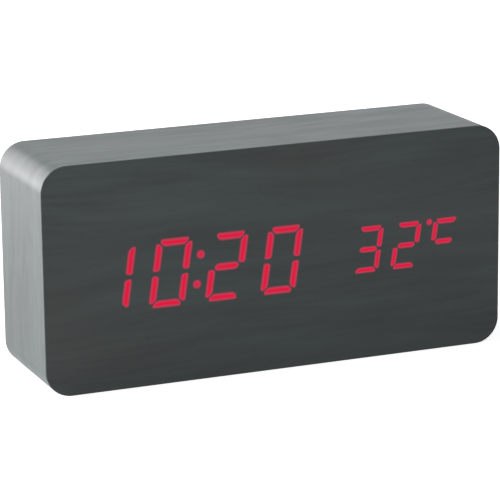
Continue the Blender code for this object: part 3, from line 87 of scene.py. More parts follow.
# The shader of a finished surface and its output
def finishSurface(tree, **inputs):
    surface = addNode(tree, "BsdfPrincipled", **inputs)
    addNode(tree, "OutputMaterial", Surface=surface)


# Outlines: lists of (x, z), anticlockwise seen from the front

def arcSteps(centre, radius, start, end, count):
    points = []
    for step in range(count + 1):
        angle = math.radians(start + (end - start) * step / count)
        points.append((centre[0] + radius * math.cos(angle), centre[1] + radius * math.sin(angle)))
    return points


# Rounded rectangle with a point in the middle of its lower side
def roundedBox(width, height, radius, centre=(0, 0), steps=12):
    points = [(centre[0], centre[1] - height / 2)]
    for xSide, zSide, start in ((1, -1, -90), (1, 1, 0), (-1, 1, 90), (-1, -1, 180)):
        corner = (centre[0] + xSide * (width / 2 - radius), centre[1] + zSide * (height / 2 - radius))
        points += arcSteps(corner, radius, start, start + 90, steps)
    return points


def ring(radius, centre=(0, 0), sides=48):
    return arcSteps(centre, radius, 0, 360 - 360 / sides, sides - 1)


# Solids from outlines at several depths

def addLoop(work, outline, y):
    verts = [work.verts.new((x * mm, y * mm, z * mm)) for x, z in outline]
    return verts, [work.edges.new((verts[place - 1], verts[place])) for place in range(len(verts))]


# Walls through (outline, y) pairs; gives each loop's points
def addBand(work, outlines):
    loops = [addLoop(work, outline, y) for outline, y in outlines]
    for (_, first), (_, second) in zip(loops, loops[1:]):
        bmesh.ops.bridge_loops(work, edges=first + second)
    return [verts for verts, _ in loops]


# Flat face at a depth, inside the first outline and outside of the others
def addCap(work, outlines, y):
    edges = [edge for outline in outlines for edge in addLoop(work, outline, y)[1]]
    bmesh.ops.triangle_fill(work, edges=edges, use_beauty=True, use_dissolve=False)


# Pairs that round an edge: shape(inset) gives the outline, and the wall goes away from the face at y
def edgeSteps(shape, edge, y, away, steps=4):
    pairs = []
    for step in range(steps + 1):
        angle = math.radians(90 * step / steps)
        pairs.append((shape(edge * (1 - math.sin(angle))), y + away * edge * (1 - math.cos(angle))))
    return pairs


def mergePoints(work):
    bmesh.ops.remove_doubles(work, verts=work.verts, dist=mergeGap * mm)
    bmesh.ops.recalc_face_normals(work, faces=work.faces)


# Turns a bmesh into a finished piece that rides on a body and stands for a CAD node
def madePiece(name, work, materials, node, body="root", sharpAngle=35):
    mesh = bpy.data.meshes.new(name)
    work.to_mesh(mesh)
    work.free()
    for material in materials:
        mesh.materials.append(material)
    mesh.polygons.foreach_set("use_smooth", [True] * len(mesh.polygons))
    mesh.set_sharp_from_angle(angle=math.radians(sharpAngle))
    piece = bpy.data.objects.new(name, mesh)
    bpy.context.scene.collection.objects.link(piece)
    piece.modifiers.new("even_shading", "WEIGHTED_NORMAL").keep_sharp = True
    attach(piece, body)
    if node:
        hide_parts(node)
    return piece


# Wood-grain film: PVC film printed with a charcoal grain and pressed matt, glued round the block. It gives
# a dark satin face with soft wavy bands, fine streaks and a few short pores, and pales at a low angle.
# The grain runs along the first axis of the piece's own "grain" map, which is laid out in metres.
filmLook = {
    "darkWood": "272a29",
    "paleWood": "424c4c",
    "warmWood": "373836",
    "warmShare": 0.5,      # how far the warmest places turn to the warm colour
    "poreColour": "1a1d1c",
    "bandLength": 75,      # size of each part of the pattern along the grain and across it
    "bandWidth": 9,
    "streakLength": 22,
    "streakWidth": 1.3,
    "streakShare": 0.42,   # how much of the fine print is streaks, the rest being soft bands
    "fleckLength": 9,      # smudges in the pale bloom seen at a low angle
    "fleckWidth": 2.8,
    "fleckShare": 0.85,
    "patchLength": 60,     # patches that show fine streaks and patches that show only soft bands
    "patchWidth": 26,
    "cloudLength": 170,    # broad clouds of darker and paler print, partly random tone and partly painted shade that darkens the front towards its lower right
    "cloudWidth": 60,
    "toneAndShadeCloudShare": 0.45,
    # painted shade: this start puts a darker cloud on the front's lower right and a paler one on its upper
    # left
    "shadeCloudStart": (0.35, 0.2, 0.0),
    "waveLength": 90,      # the streaks drift up and down by up to the wave height over this length
    "waveWidth": 45,
    "waveHeight": 15,
    "poreLength": 3.4,
    "poreWidth": 0.45,     # real pores are about 0.1 mm wide, drawn coarser so that the picture holds them
    "poreDepth": 0.03,
    "poreShare": 0.35,
    "roughness": 0.46,
    "roughSpread": 0.04,   # the dark grain is rougher by this, and the pale grain smoother
    "ior": 1.5,
    "gloss": 0.3,          # the pressed matt face mirrors little from the front
    "sheen": 0.16,         # the pressed matt face pales at a low angle
    "sheenRoughness": 0.4,
    "sheenTint": "e9f8fb",
    "sheenSpread": 0.26,   # how much more the pale grain pales than the dark grain, as a share of the sheen
}


def grainFilm(name, look):
    material, tree = newMaterial(name)
    floatMix, colourMix = {"data_type": "FLOAT"}, {"data_type": "RGBA"}
    grain = addNode(tree, "UVMap", {"uv_map": "grain"})

    # Noise drawn out along the grain, with one cycle for the given millimetres
    def drawnOut(place, length, width, detail, start=(0.0, 0.0, 0.0)):
        stretch = (1 / (length * mm), 1 / (width * mm), 1.0)
        place = addNode(tree, "VectorMath", {"operation": "MULTIPLY_ADD"}, i0=place, i1=stretch, i2=start)
        return addNode(tree, "TexNoise", Vector=place, Scale=1.0, Detail=detail, Roughness=0.55)

    wave = drawnOut(grain, look["waveLength"], look["waveWidth"], 1.0)
    rise = addNode(tree, "Math", {"operation": "MULTIPLY"}, i0=wave, i1=look["waveHeight"] * mm)
    rise = addNode(tree, "CombineXYZ", Y=rise)
    grain = addNode(tree, "VectorMath", {"operation": "ADD"}, i0=grain, i1=rise)
    bands = drawnOut(grain, look["bandLength"], look["bandWidth"], 3.0)
    streaks = drawnOut(grain, look["streakLength"], look["streakWidth"], 3.0)
    patches = drawnOut(grain, look["patchLength"], look["patchWidth"], 1.0)
    pores = drawnOut(grain, look["poreLength"], look["poreWidth"], 1.0)
    softShade = addNode(tree, "MapRange", i0=bands, i1=0.3, i2=0.7)
    fineShade = addNode(tree, "Mix", floatMix, i0=look["streakShare"], i2=bands, i3=streaks)
    fineShade = addNode(tree, "MapRange", i0=fineShade, i1=0.36, i2=0.64)
    patches = addNode(tree, "MapRange", i0=patches, i1=0.35, i2=0.65)
    shade = addNode(tree, "Mix", floatMix, i0=patches, i2=softShade, i3=fineShade)
    # Broad clouds: random print tone, and painted shade where their start puts the darker cloud low on the
    # front's right
    clouds = drawnOut(grain, look["cloudLength"], look["cloudWidth"], 1.0, look["shadeCloudStart"])
    clouds = addNode(tree, "MapRange", i0=clouds, i1=0.3, i2=0.7)
    shade = addNode(tree, "Mix", floatMix, i0=look["toneAndShadeCloudShare"], i2=shade, i3=clouds)
    dark, pale = linearColour(look["darkWood"]), linearColour(look["paleWood"])
    base = addNode(tree, "Mix", colourMix, 2, i0=shade, i6=dark, i7=pale)
    warmth = addNode(tree, "MapRange", i0=wave, i1=0.45, i2=0.7, i3=0.0, i4=look["warmShare"])
    base = addNode(tree, "Mix", colourMix, 2, i0=warmth, i6=base, i7=linearColour(look["warmWood"]))
    pores = addNode(tree, "MapRange", i0=pores, i1=0.64, i2=0.74, i4=look["poreShare"])
    base = addNode(tree, "Mix", colourMix, 2, i0=pores, i6=base, i7=linearColour(look["poreColour"]))
    least, most = (look["roughness"] + side * look["roughSpread"] for side in (-1, 1))
    rough = addNode(tree, "MapRange", i0=shade, i1=0.0, i2=1.0, i3=most, i4=least)
    least, most = (look["sheen"] * (1 + side * look["sheenSpread"]) for side in (-1, 1))
    flecks = drawnOut(grain, look["fleckLength"], look["fleckWidth"], 2.0)
    bloom = addNode(tree, "Mix", floatMix, i0=look["fleckShare"], i2=bands, i3=flecks)
    sheen = addNode(tree, "MapRange", i0=bloom, i1=0.35, i2=0.65, i3=least, i4=most)
    height = addNode(tree, "Math", {"operation": "SUBTRACT"}, i0=streaks, i1=pores)
    normal = addNode(tree, "Bump", Height=height, Distance=look["poreDepth"] * mm, Strength=0.4)
    finishSurface(
        tree, Base_Color=base, Roughness=rough, IOR=look["ior"], Normal=normal,
        Specular_IOR_Level=look["gloss"],
        Sheen_Weight=sheen, Sheen_Roughness=look["sheenRoughness"],
        Sheen_Tint=linearColour(look["sheenTint"]),
    )
    return material


# Bare MDF: pressed brown wood fibre, sawn and left bare inside the block and on the panel's edges. It gives
# a dull brown felt of short fibres with no sheen.
fibreLook = {"paleFibre": "a58a68", "darkFibre": "7d6446", "fibreLength": 1.2, "roughness": 0.85, "ior": 1.5}


def fibreBoard(name, look):
    material, tree = newMaterial(name)
    place = addNode(tree, "TexCoord", output="Object")
    fibres = addNode(
        tree, "TexNoise", Vector=place, Scale=1 / (look["fibreLength"] * mm), Detail=4.0, Roughness=0.65,
    )
    shade = addNode(tree, "MapRange", i0=fibres, i1=0.35, i2=0.65)
    dark, pale = linearColour(look["darkFibre"]), linearColour(look["paleFibre"])
    base = addNode(tree, "Mix", {"data_type": "RGBA"}, 2, i0=shade, i6=dark, i7=pale)
    normal = addNode(tree, "Bump", Height=fibres, Distance=0.1 * mm, Strength=0.4)
    finishSurface(tree, Base_Color=base, Roughness=look["roughness"], IOR=look["ior"], Normal=normal)
    return material


# Light guides: milky red acrylic, moulded. A lit bar glows from the LED behind it, brightest in its middle.
# The "glow" attribute is 1 in the middle of a lit bar, lower on its outline and 0 on what stays dark.
guideLook = {
    "acrylic": "1c0508",
    "edgeGlow": "6c3a44",
    "rimGlow": "bc3c56",
    "rimPlace": 0.45,      # where the rim's colour lies between the outline and the middle
    "coreGlow": "e4103a",
    "outlineGlow": 0.4,    # the "glow" attribute on the outline
    "roughness": 0.5,
    "ior": 1.49,
    "gloss": 0.05,         # bonded to the film, which leaves almost no reflection
    "milkSize": 1.6,
}


def guideAcrylic(name, look):
    material, tree = newMaterial(name)
    glow = addNode(tree, "Attribute", {"attribute_name": "glow"}, "Fac")
    rise = addNode(tree, "MapRange", i0=glow, i1=look["outlineGlow"], i2=1.0)
    light = addNode(tree, "ValToRGB", Fac=rise)
    stops = light.node.color_ramp.elements
    stops.new(look["rimPlace"])
    for stop, colour in zip(stops, ("edgeGlow", "rimGlow", "coreGlow")):
        stop.color = linearColour(look[colour])
    lit = addNode(tree, "MapRange", i0=glow, i1=0.0, i2=look["outlineGlow"])
    place = addNode(tree, "TexCoord", output="Object")
    milk = addNode(tree, "TexNoise", Vector=place, Scale=1 / (look["milkSize"] * mm))
    milk = addNode(tree, "MapRange", i0=milk, i1=0.3, i2=0.7, i3=0.96, i4=1.0)
    strength = addNode(tree, "Math", {"operation": "MULTIPLY"}, i0=lit, i1=milk)
    finishSurface(
        tree, Base_Color=linearColour(look["acrylic"]), Roughness=look["roughness"], IOR=look["ior"],
        Specular_IOR_Level=look["gloss"], Emission_Color=light, Emission_Strength=strength,
    )
    return material


# Moulded plastics and resins: the mould's sparked steel gives an even fine grain and a satin face, and the
# colour clouds very slightly where the plastic flowed. The real grain is about 0.1 mm, drawn coarser.
def mouldedPlastic(name, look):
    material, tree = newMaterial(name)
    place = addNode(tree, "TexCoord", output="Object")
    flow = addNode(tree, "TexNoise", Vector=place, Scale=1 / (look["flow"] * mm), Detail=2.0)
    shade = addNode(tree, "MapRange", i0=flow, i1=0.3, i2=0.7)
    colours = linearColour(look["colour"]), linearColour(look["cloud"])
    base = addNode(tree, "Mix", {"data_type": "RGBA"}, 2, i0=shade, i6=colours[0], i7=colours[1])
    grain = addNode(tree, "TexNoise", Vector=place, Scale=1 / (look["grain"] * mm), Detail=1.0)
    rough = addNode(
        tree, "MapRange", i0=grain, i1=0.3, i2=0.7, i3=look["roughness"] - 0.05, i4=look["roughness"] + 0.05,
    )
    normal = addNode(tree, "Bump", Height=grain, Distance=look["depth"] * mm, Strength=0.5)
    finishSurface(tree, Base_Color=base, Roughness=rough, IOR=look["ior"], Normal=normal)
    return material


# Plated and rolled metals: a bright face with faint rolling lines along X and duller, slightly yellowed
# clouds where the plating has been handled. The real lines are 0.05 mm apart, drawn coarser.
def rolledMetal(name, look):
    material, tree = newMaterial(name)
    place = addNode(tree, "TexCoord", output="Object")
    stretch = tuple(1 / (size * mm) for size in look["lines"])
    drawn = addNode(tree, "VectorMath", {"operation": "MULTIPLY"}, i0=place, i1=stretch)
    lines = addNode(tree, "TexNoise", Vector=drawn, Scale=1.0, Detail=2.0)
    clouds = addNode(tree, "TexNoise", Vector=place, Scale=1 / (look["clouds"] * mm), Detail=3.0)
    shade = addNode(tree, "MapRange", i0=clouds, i1=0.4, i2=0.7)
    colours = linearColour(look["colour"]), linearColour(look["worn"])
    base = addNode(tree, "Mix", {"data_type": "RGBA"}, 2, i0=shade, i6=colours[0], i7=colours[1])
    rough = addNode(tree, "Math", {"operation": "ADD"}, i0=lines, i1=shade)
    rough = addNode(
        tree, "MapRange", i0=rough, i1=0.4, i2=1.6, i3=look["roughness"] - 0.06, i4=look["roughness"] + 0.1,
    )
    normal = addNode(tree, "Bump", Height=lines, Distance=0.01 * mm, Strength=0.3)
    finishSurface(tree, Base_Color=base, Metallic=1.0, Roughness=rough, Normal=normal)
    return material


# Circuit board: glass-fibre laminate under green solder mask. Copper tracks show as paler lines through
# the mask, the glass weave as a faint pimpled relief, and the mask itself is glossy.
boardLook = {
    "mask": "0d4026",
    "track": "1f6a3d",
    "trackLength": 9,      # from one turn of a track to the next
    "trackPitch": 1.3,
    "trackWidth": 0.3,
    "weave": 0.6,
    "roughness": 0.3,
    "ior": 1.55,
}


def circuitBoard(name, look):
    material, tree = newMaterial(name)
    place = addNode(tree, "TexCoord", output="Object")
    parts = addNode(tree, "SeparateXYZ", Vector=place)
    sides = parts.node.outputs
    flat = addNode(tree, "CombineXYZ", X=sides["X"], Y=sides["Z"])
    tracks = addNode(
        tree, "TexBrick", {"offset": 0.4, "offset_frequency": 3}, "Fac", Vector=flat, Scale=1.0,
        Mortar_Size=look["trackWidth"] * mm, Mortar_Smooth=0.1,
        Brick_Width=look["trackLength"] * mm, Row_Height=look["trackPitch"] * mm,
    )
    regions = addNode(tree, "TexNoise", Vector=place, Scale=1 / (look["trackLength"] * mm), Detail=0.0)
    regions = addNode(tree, "MapRange", i0=regions, i1=0.48, i2=0.5)
    share = addNode(tree, "Math", {"operation": "MULTIPLY"}, i0=tracks, i1=regions)
    mask, track = linearColour(look["mask"]), linearColour(look["track"])
    base = addNode(tree, "Mix", {"data_type": "RGBA"}, 2, i0=share, i6=mask, i7=track)
    weave = addNode(tree, "TexWave", {"wave_profile": "SIN"}, Vector=flat, Scale=0.3 / (look["weave"] * mm))
    normal = addNode(tree, "Bump", Height=weave, Distance=0.01 * mm, Strength=0.3)
    finishSurface(tree, Base_Color=base, Roughness=look["roughness"], IOR=look["ior"], Normal=normal)
    return material


# Cell sleeve: plain blue PVC film shrunk round the can, with a pale printed band at the plus end. It gives a
# smooth glossy face with faint shrink ripples. The "end" attribute is 1 on the band and 0 on the rest.
sleeveLook = {"sleeve": "2b5f80", "band": "c9cfd0", "ripple": 3.5, "roughness": 0.28, "ior": 1.53}


def cellSleeve(name, look):
    material, tree = newMaterial(name)
    place = addNode(tree, "TexCoord", output="Object")
    end = addNode(tree, "Attribute", {"attribute_name": "end"}, "Fac")
    sleeve, band = linearColour(look["sleeve"]), linearColour(look["band"])
    base = addNode(tree, "Mix", {"data_type": "RGBA"}, 2, i0=end, i6=sleeve, i7=band)
    ripple = addNode(tree, "TexNoise", Vector=place, Scale=1 / (look["ripple"] * mm), Detail=2.0)
    rough = addNode(
        tree, "MapRange", i0=ripple, i1=0.3, i2=0.7, i3=look["roughness"], i4=look["roughness"] + 0.08,
    )
    normal = addNode(tree, "Bump", Height=ripple, Distance=0.05 * mm, Strength=0.3)
    finishSurface(tree, Base_Color=base, Roughness=rough, IOR=look["ior"], Normal=normal)
    return material


plasticLooks = {
    "black_abs": {"colour": "191a1c", "cloud": "1e1f21", "roughness": 0.5, "ior": 1.53},
    "black_button_abs": {"colour": "222326", "cloud": "26272a", "roughness": 0.4, "ior": 1.53},
    "white_abs": {"colour": "dcdcd8", "cloud": "e2e2de", "roughness": 0.45, "ior": 1.53},
    "black_polystyrene": {"colour": "121314", "cloud": "151617", "roughness": 0.6, "ior": 1.59},
    "chip_epoxy": {"colour": "17181a", "cloud": "1c1d1f", "roughness": 0.55, "ior": 1.55},
    "white_pad_ink": {"colour": "c9cbc8", "cloud": "d2d4d1", "roughness": 0.6, "ior": 1.5},
    "red_pvc": {"colour": "a81d1a", "cloud": "b32320", "roughness": 0.4, "ior": 1.53},
    "black_pvc": {"colour": "1a1a1c", "cloud": "202022", "roughness": 0.4, "ior": 1.53},
}
mouldGrain = {"flow": 14, "grain": 0.35, "depth": 0.012}
metalLooks = {
    "nickel_plated_steel": {"colour": "c2bdb2", "worn": "aea692", "roughness": 0.28},
    "zinc_plated_steel": {"colour": "b4b8bc", "worn": "9c9c94", "roughness": 0.34},
    "tinned_copper": {"colour": "c8c9c8", "worn": "b3b0a8", "roughness": 0.26},
    "drawn_aluminium": {"colour": "cfd0d1", "worn": "bfbfbc", "roughness": 0.3},
}
metalGrain = {"lines": (8.0, 0.3, 0.3), "clouds": 5}

film = grainFilm("charcoal_grain_film", filmLook)
bareBoard = fibreBoard("bare_mdf", fibreLook)
acrylic = guideAcrylic("red_guide_acrylic", guideLook)
board = circuitBoard("green_circuit_board", boardLook)
sleeve = cellSleeve("printed_cell_sleeve", sleeveLook)
plastics = {name: mouldedPlastic(name, look | mouldGrain) for name, look in plasticLooks.items()}
metals = {name: rolledMetal(name, look | metalGrain) for name, look in metalLooks.items()}
print("materials made:", 5 + len(plastics) + len(metals))


# Case: a hollow block of MDF with the film wrapped round its four long sides
caseLow, caseHigh = boxOf("case")
filmLow, filmHigh = boxOf("front_film")
caseShape = {
    "width": caseHigh.x - caseLow.x,
    "height": caseHigh.z - caseLow.z,
    "cornerRadius": 8,
    "cornerSteps": 20,
    "sideWall": 6,
    "frontWall": 4,
    "postSide": 10,
    "rebate": 3,           # how far the wall steps back to take the back panel
    "rebateFloor": 15.9,
    "glueGap": 0.02,       # between the block and the front film
    "frontEdge": 0.15,
    "backEdge": 0.3,
    "windowWidth": 125.5,
    "windowHeight": 24.8,
    "windowPlace": (0.3, 34.45),
    "windowRadius": 2,
}
middle = (0, caseShape["height"] / 2)
besideFront = 300     # the sides' grain is mapped this far from the front's, so that no streak repeats


def blockOutline(inset=0.0):
    return roundedBox(
        caseShape["width"] - 2 * inset, caseShape["height"] - 2 * inset, caseShape["cornerRadius"] - inset,
        middle, caseShape["cornerSteps"],
    )


# Distance along the block's outline from the middle of its top, to the right where side is 1
def roundTheBlock(x, z, side):
    halfHeight, radius = caseShape["height"] / 2, caseShape["cornerRadius"]
    flat, upright = caseShape["width"] / 2 - radius, 2 * (halfHeight - radius)
    quarter = math.pi * radius / 2
    across, rise = max(x * side, 0.0), z - halfHeight
    if across <= flat:
        return across if rise > 0 else 2 * flat + 2 * quarter + upright - across
    if abs(rise) <= halfHeight - radius:
        return flat + quarter + (halfHeight - radius) - rise
    turn = math.atan2(across - flat, abs(rise) - (halfHeight - radius)) * radius
    return flat + turn if rise > 0 else flat + 2 * quarter + upright - turn


# Lays the grain along X on faces that look forward or back, and round the block on its sides
def mapGrain(work):
    layer = work.loops.layers.uv.new("grain")
    for face in work.faces:
        side = 1 if face.calc_center_median().x > 0 else -1
        for loop in face.loops:
            x, y, z = loop.vert.co / mm
            place = Vector((x, z))
            if abs(face.normal.y) < 0.8:
                place = Vector((side * roundTheBlock(x, z, side), y + besideFront))
            loop[layer].uv = place * mm


def buildCase():
    shape = caseShape
    work = bmesh.new()
    frontY, backY = filmHigh.y + shape["glueGap"], caseHigh.y
    wallBack = caseLow.y + shape["frontWall"]
    outside = edgeSteps(blockOutline, shape["frontEdge"], frontY, 1)
    outside += reversed(edgeSteps(blockOutline, shape["backEdge"], backY, -1))
    addBand(work, outside)
    window = roundedBox(
        shape["windowWidth"], shape["windowHeight"], shape["windowRadius"], shape["windowPlace"], 6,
    )
    width, height = shape["width"] - 2 * shape["sideWall"], shape["height"] - 2 * shape["sideWall"]
    halfWidth, halfHeight, post = width / 2, height / 2, shape["postSide"]
    # The hollow is a rectangle whose corners are kept solid for the panel's screws
    postX, postZ = halfWidth - post, post - halfHeight
    hollow = [(postX, -halfHeight), (postX, postZ), (halfWidth, postZ)]
    hollow = [(x, z + middle[1]) for x, z in hollow]
    hollow += [(x, 2 * middle[1] - z) for x, z in reversed(hollow)]
    hollow += [(-x, z) for x, z in reversed(hollow)]
    rebate, floor = shape["rebate"], shape["rebateFloor"]
    rebateRadius = shape["cornerRadius"] - shape["sideWall"] + rebate
    rebateHole = roundedBox(width + 2 * rebate, height + 2 * rebate, rebateRadius, middle)
    addCap(work, [blockOutline(shape["frontEdge"]), window], frontY)
    addBand(work, [(window, frontY), (window, wallBack)])
    addCap(work, [hollow, window], wallBack)
    addBand(work, [(hollow, wallBack), (hollow, floor)])
    addCap(work, [rebateHole, hollow], floor)
    addBand(work, [(rebateHole, floor), (rebateHole, backY)])
    addCap(work, [blockOutline(shape["backEdge"]), rebateHole], backY)
    mergePoints(work)
    mapGrain(work)
    clear = shape["frontEdge"] / 2
    for face in work.faces:
        x, y, z = face.calc_center_median() / mm
        inside = abs(x) < halfWidth + rebate + clear and abs(z - middle[1]) < halfHeight + rebate + clear
        face.material_index = int(inside and frontY + clear < y < backY - clear)
    madePiece("case_block", work, [film, bareBoard], "case")


buildCase()
print("case built")


# Figures: seven leaning bars each; width and height run between the middle lines of the bars
timeStyle = {"width": 9.405, "height": 18.69, "stroke": 2.1}
tempStyle = {"width": 7.065, "height": 12.901, "stroke": 1.603}
figureShape = {
    "slant": 0.153,
    "cornerCut": 0.26,     # how much of a lit bar's corners the glow rounds off, in shares of the stroke
    "bleed": 0.115,        # how far the light spreads into the film round a lit bar, the same way
    "sideRing": 0.4,       # how far inside its long sides a bar reaches its full glow, the same way
    "endRing": 0.25,       # and how far inside its ends
    "frontInset": 0.03,    # how far the bars lie behind the face of the film
    "filmGap": 0.01,       # between a lit bar and the film round it
    "webThickness": 1,     # of the web that joins a guide's bars behind the mask
    "webMargin": 0.5,
    "webOverlap": 0.3,     # how far the bars run into the web
    "colonRadius": 1.197,
    "colonRise": 4.55,
    "degreeRadius": 0.897,
    "degreeFromUnit": 5.882,
}
barLines = {
    "a": ((-1, 1), (1, 1)), "b": ((1, 1), (1, 0)), "c": ((1, 0), (1, -1)), "d": ((1, -1), (-1, -1)),
    "e": ((-1, -1), (-1, 0)), "f": ((-1, 0), (-1, 1)), "g": ((-1, 0), (1, 0)),
}
# How far each end stops short of the crossing of its lines, at its outer, middle and inner point,
# in shares of the stroke
mitre, blunt, point = (0.14, 0.2, 0.69), (0.38, 0.37, 0.49), (0.76, 0.35, 0.76)
barEnds = {
    "a": (mitre, mitre), "b": (mitre, blunt), "c": (blunt, mitre), "d": (mitre, mitre),
    "e": (mitre, blunt), "f": (blunt, mitre), "g": (point, point),
}
timeZ, tempZ = 34.447, 34.601
figures = [     # node, style, middle of the figure and its lit bars
    ("hour_tens_guide", timeStyle, (-53.1, timeZ), "bc"),
    ("hour_ones_guide", timeStyle, (-35.055, timeZ), "abcdef"),
    ("minute_tens_guide", timeStyle, (-17.01, timeZ), "abged"),
    ("minute_ones_guide", timeStyle, (1.035, timeZ), "abcdef"),
    ("degrees_tens_guide", tempStyle, (29.895, tempZ), "abcdg"),
    ("degrees_ones_guide", tempStyle, (42.75, tempZ), "abged"),
    ("unit_guide", tempStyle, (55.605, tempZ), "afg"),
]
colonPlace = (-26.033, timeZ)


def lean(points, centre):
    return [(centre[0] + x + figureShape["slant"] * z, centre[1] + z) for x, z in points]


# Outline of a bar about the middle of its figure, drawn in at its ends and its long sides
def barOutline(style, bar, endInset=0.0, sideInset=0.0):
    start, end = (Vector((style["width"] / 2 * x, style["height"] / 2 * z)) for x, z in barLines[bar])
    forward = (end - start).normalized()
    outward = Vector((-forward.y, forward.x))
    length, half = (end - start).length, style["stroke"] / 2
    points = []
    for place, gaps in enumerate(barEnds[bar]):
        reaches = [gap * style["stroke"] + endInset for gap in gaps]
        corners = list(zip(reaches, (half - sideInset, 0, sideInset - half)))
        if place:
            corners = [(length - reach, side) for reach, side in reversed(corners)]
        points += corners
    return [tuple(start + forward * reach + outward * side) for reach, side in points]


# Replaces every corner by a curve that starts and ends the cut away from it
def roundedCorners(points, cut, steps=4):
    rounded = []
    for place in range(len(points)):
        corner, before, after = (Vector(points[(place + step) % len(points)]) for step in (0, -1, 1))
        ends = []
        for other in (before, after):
            reach = min(cut, (other - corner).length * 0.48)     # so that two cuts never meet
            ends.append(corner + (other - corner).normalized() * reach)
        for step in range(steps + 1):
            share = step / steps
            rounded.append(tuple(ends[0].lerp(corner, share).lerp(corner.lerp(ends[1], share), share)))
    return rounded


# Moves every point of an anticlockwise outline straight out from it
def grown(points, amount):
    moved = []
    for place, point in enumerate(points):
        along = Vector(points[(place + 1) % len(points)]) - Vector(points[place - 1])
        moved.append(tuple(Vector(point) + Vector((along.y, -along.x)).normalized() * amount))
    return moved


# Window in the film, glowing outline and fully lit core of a bar
def litBar(style, bar, place):
    stroke, shape = style["stroke"], figureShape
    cut, bleed, endRing, sideRing = (
        shape[size] * stroke for size in ("cornerCut", "bleed", "endRing", "sideRing")
    )
    outline, core = (
        lean(roundedCorners(barOutline(style, bar, *insets), cut), place)
        for insets in ((0.0, 0.0), (endRing, sideRing))
    )
    return grown(outline, bleed + shape["filmGap"]), grown(outline, bleed), core


# The same for a dot
def litDot(radius, centre):
    stroke, sides, shape = 2 * radius, 32, figureShape
    outside = radius + shape["bleed"] * stroke
    radii = (outside + shape["filmGap"], outside, radius - shape["sideRing"] * stroke)
    return tuple(ring(size, centre, sides) for size in radii)


# Lit shapes of a figure
def litShapes(name, style, place, lit):
    shapes = [litBar(style, bar, place) for bar in lit]
    if name == "unit_guide":
        rise = style["height"] / 2
        centre = lean([(-figureShape["degreeFromUnit"], rise)], place)[0]
        shapes.append(litDot(figureShape["degreeRadius"], centre))
    return shapes


colonShapes = [
    litDot(figureShape["colonRadius"], lean([(0, side * figureShape["colonRise"])], colonPlace)[0])
    for side in (-1, 1)
]
allLit = list(colonShapes)
for name, style, place, lit in figures:
    allLit += litShapes(name, style, place, lit)


# Guide with a leaning web, glowing bars up to the film and dark bars that stop behind it
def buildGuide(name, web, centre, lit, dark):
    shape = figureShape
    back = boxOf(name)[1].y
    webFront, frontY = back - shape["webThickness"], filmLow.y + shape["frontInset"]
    footY, dim = webFront + shape["webOverlap"], guideLook["outlineGlow"]
    work = bmesh.new()
    glow = work.verts.layers.float.new("glow")
    (left, low), (right, high) = web
    plate = lean([(left, low), (right, low), (right, high), (left, high)], centre)
    blocks = [(plate, webFront, back)] + [(outline, footY, caseLow.y) for outline in dark]
    for outline, nearY, farY in blocks:
        addBand(work, [(outline, nearY), (outline, farY)])
        addCap(work, [outline], nearY)
        addCap(work, [outline], farY)
    for window, outside, core in lit:
        walls = addBand(work, [(outside, footY), (outside, frontY)])
        addCap(work, [outside], footY)
        face = addBand(work, [(outside, frontY), (core, frontY)])
        for loop, amount in ((walls[-1], dim), (face[0], dim), (face[1], 1.0)):
            for vert in loop:
                vert[glow] = amount
        before = len(work.verts)
        addCap(work, [core], frontY)
        work.verts.ensure_lookup_table()
        for vert in work.verts[before:]:
            vert[glow] = 1.0
    mergePoints(work)
    madePiece(name.replace("_guide", "_light_guide"), work, [acrylic], name)


def buildFigures():
    margin = figureShape["webMargin"]
    for name, style, place, lit in figures:
        side = style["width"] / 2 + style["stroke"] / 2 + margin
        rise = style["height"] / 2 + style["stroke"] / 2 + margin
        left = side
        if name == "unit_guide":
            left = figureShape["degreeFromUnit"] + figureShape["degreeRadius"] + margin
        dark = [lean(barOutline(style, bar), place) for bar in barLines if bar not in lit]
        buildGuide(name, ((-left, -rise), (side, rise)), place, litShapes(name, style, place, lit), dark)
    side = figureShape["colonRadius"] + margin
    rise = figureShape["colonRise"] + side
    buildGuide("colon_guide", ((-side, -rise), (side, rise)), colonPlace, colonShapes, [])


buildFigures()
print("figures built")


# Front film: one flat sheet with a window over every lit bar
frontShape = {"edge": 0.22, "inset": 0.03}


def buildFrontFilm():
    work = bmesh.new()
    frontY, backY = filmLow.y, filmHigh.y

    def outline(inset):
        return blockOutline(frontShape["inset"] + inset)

    addBand(work, [*edgeSteps(outline, frontShape["edge"], frontY, 1), (outline(0.0), backY)])
    windows = [window for window, outside, core in allLit]
    addCap(work, [outline(frontShape["edge"]), *windows], frontY)
    addCap(work, [outline(0.0), *windows], backY)
    for window in windows:
        addBand(work, [(window, frontY), (window, backY)])
    mergePoints(work)
    mapGrain(work)
    madePiece("front_grain_film", work, [film], "front_film")


buildFrontFilm()
print("front film built")


# Pieces that stand for a CAD node of the same shape
bodyOf = {node: body for body, members in frame["record"]["behaviour"]["bodies"].items() for node in members}


# Copy of a CAD node's mesh with its edges broken, as moulding, plating and machining leave them
def brokenEdges(node, edge, sharpAngle=40, flatAngle=1):
    work = bmesh.new()
    work.from_mesh(frame["nodes"][node].data)
    bmesh.ops.remove_doubles(work, verts=work.verts, dist=mergeGap * mm)
    bmesh.ops.dissolve_limit(
        work, angle_limit=math.radians(flatAngle), use_dissolve_boundaries=False, verts=work.verts,
        edges=work.edges,
    )
    bend = math.radians(sharpAngle)
    sharp = [line for line in work.edges if line.is_manifold and line.calc_face_angle() > bend]
    if edge:
        bmesh.ops.bevel(
            work, geom=sharp, offset=edge * mm, offset_type="OFFSET", segments=2, profile=0.5,
            affect="EDGES", clamp_overlap=True, material=-1,
        )
    mergePoints(work)
    return work


# Piece with a node's shape; pick(x, y, z, facing) says which of the materials a face has
def finishedCopy(node, materials, edge=0.0, pick=None, grain=False):
    work = brokenEdges(node, edge)
    if grain:
        mapGrain(work)
    for face in work.faces:
        face.material_index = pick(*(face.calc_center_median() / mm), face.normal) if pick else 0
    madePiece(node + "_finished", work, materials, node, bodyOf[node])


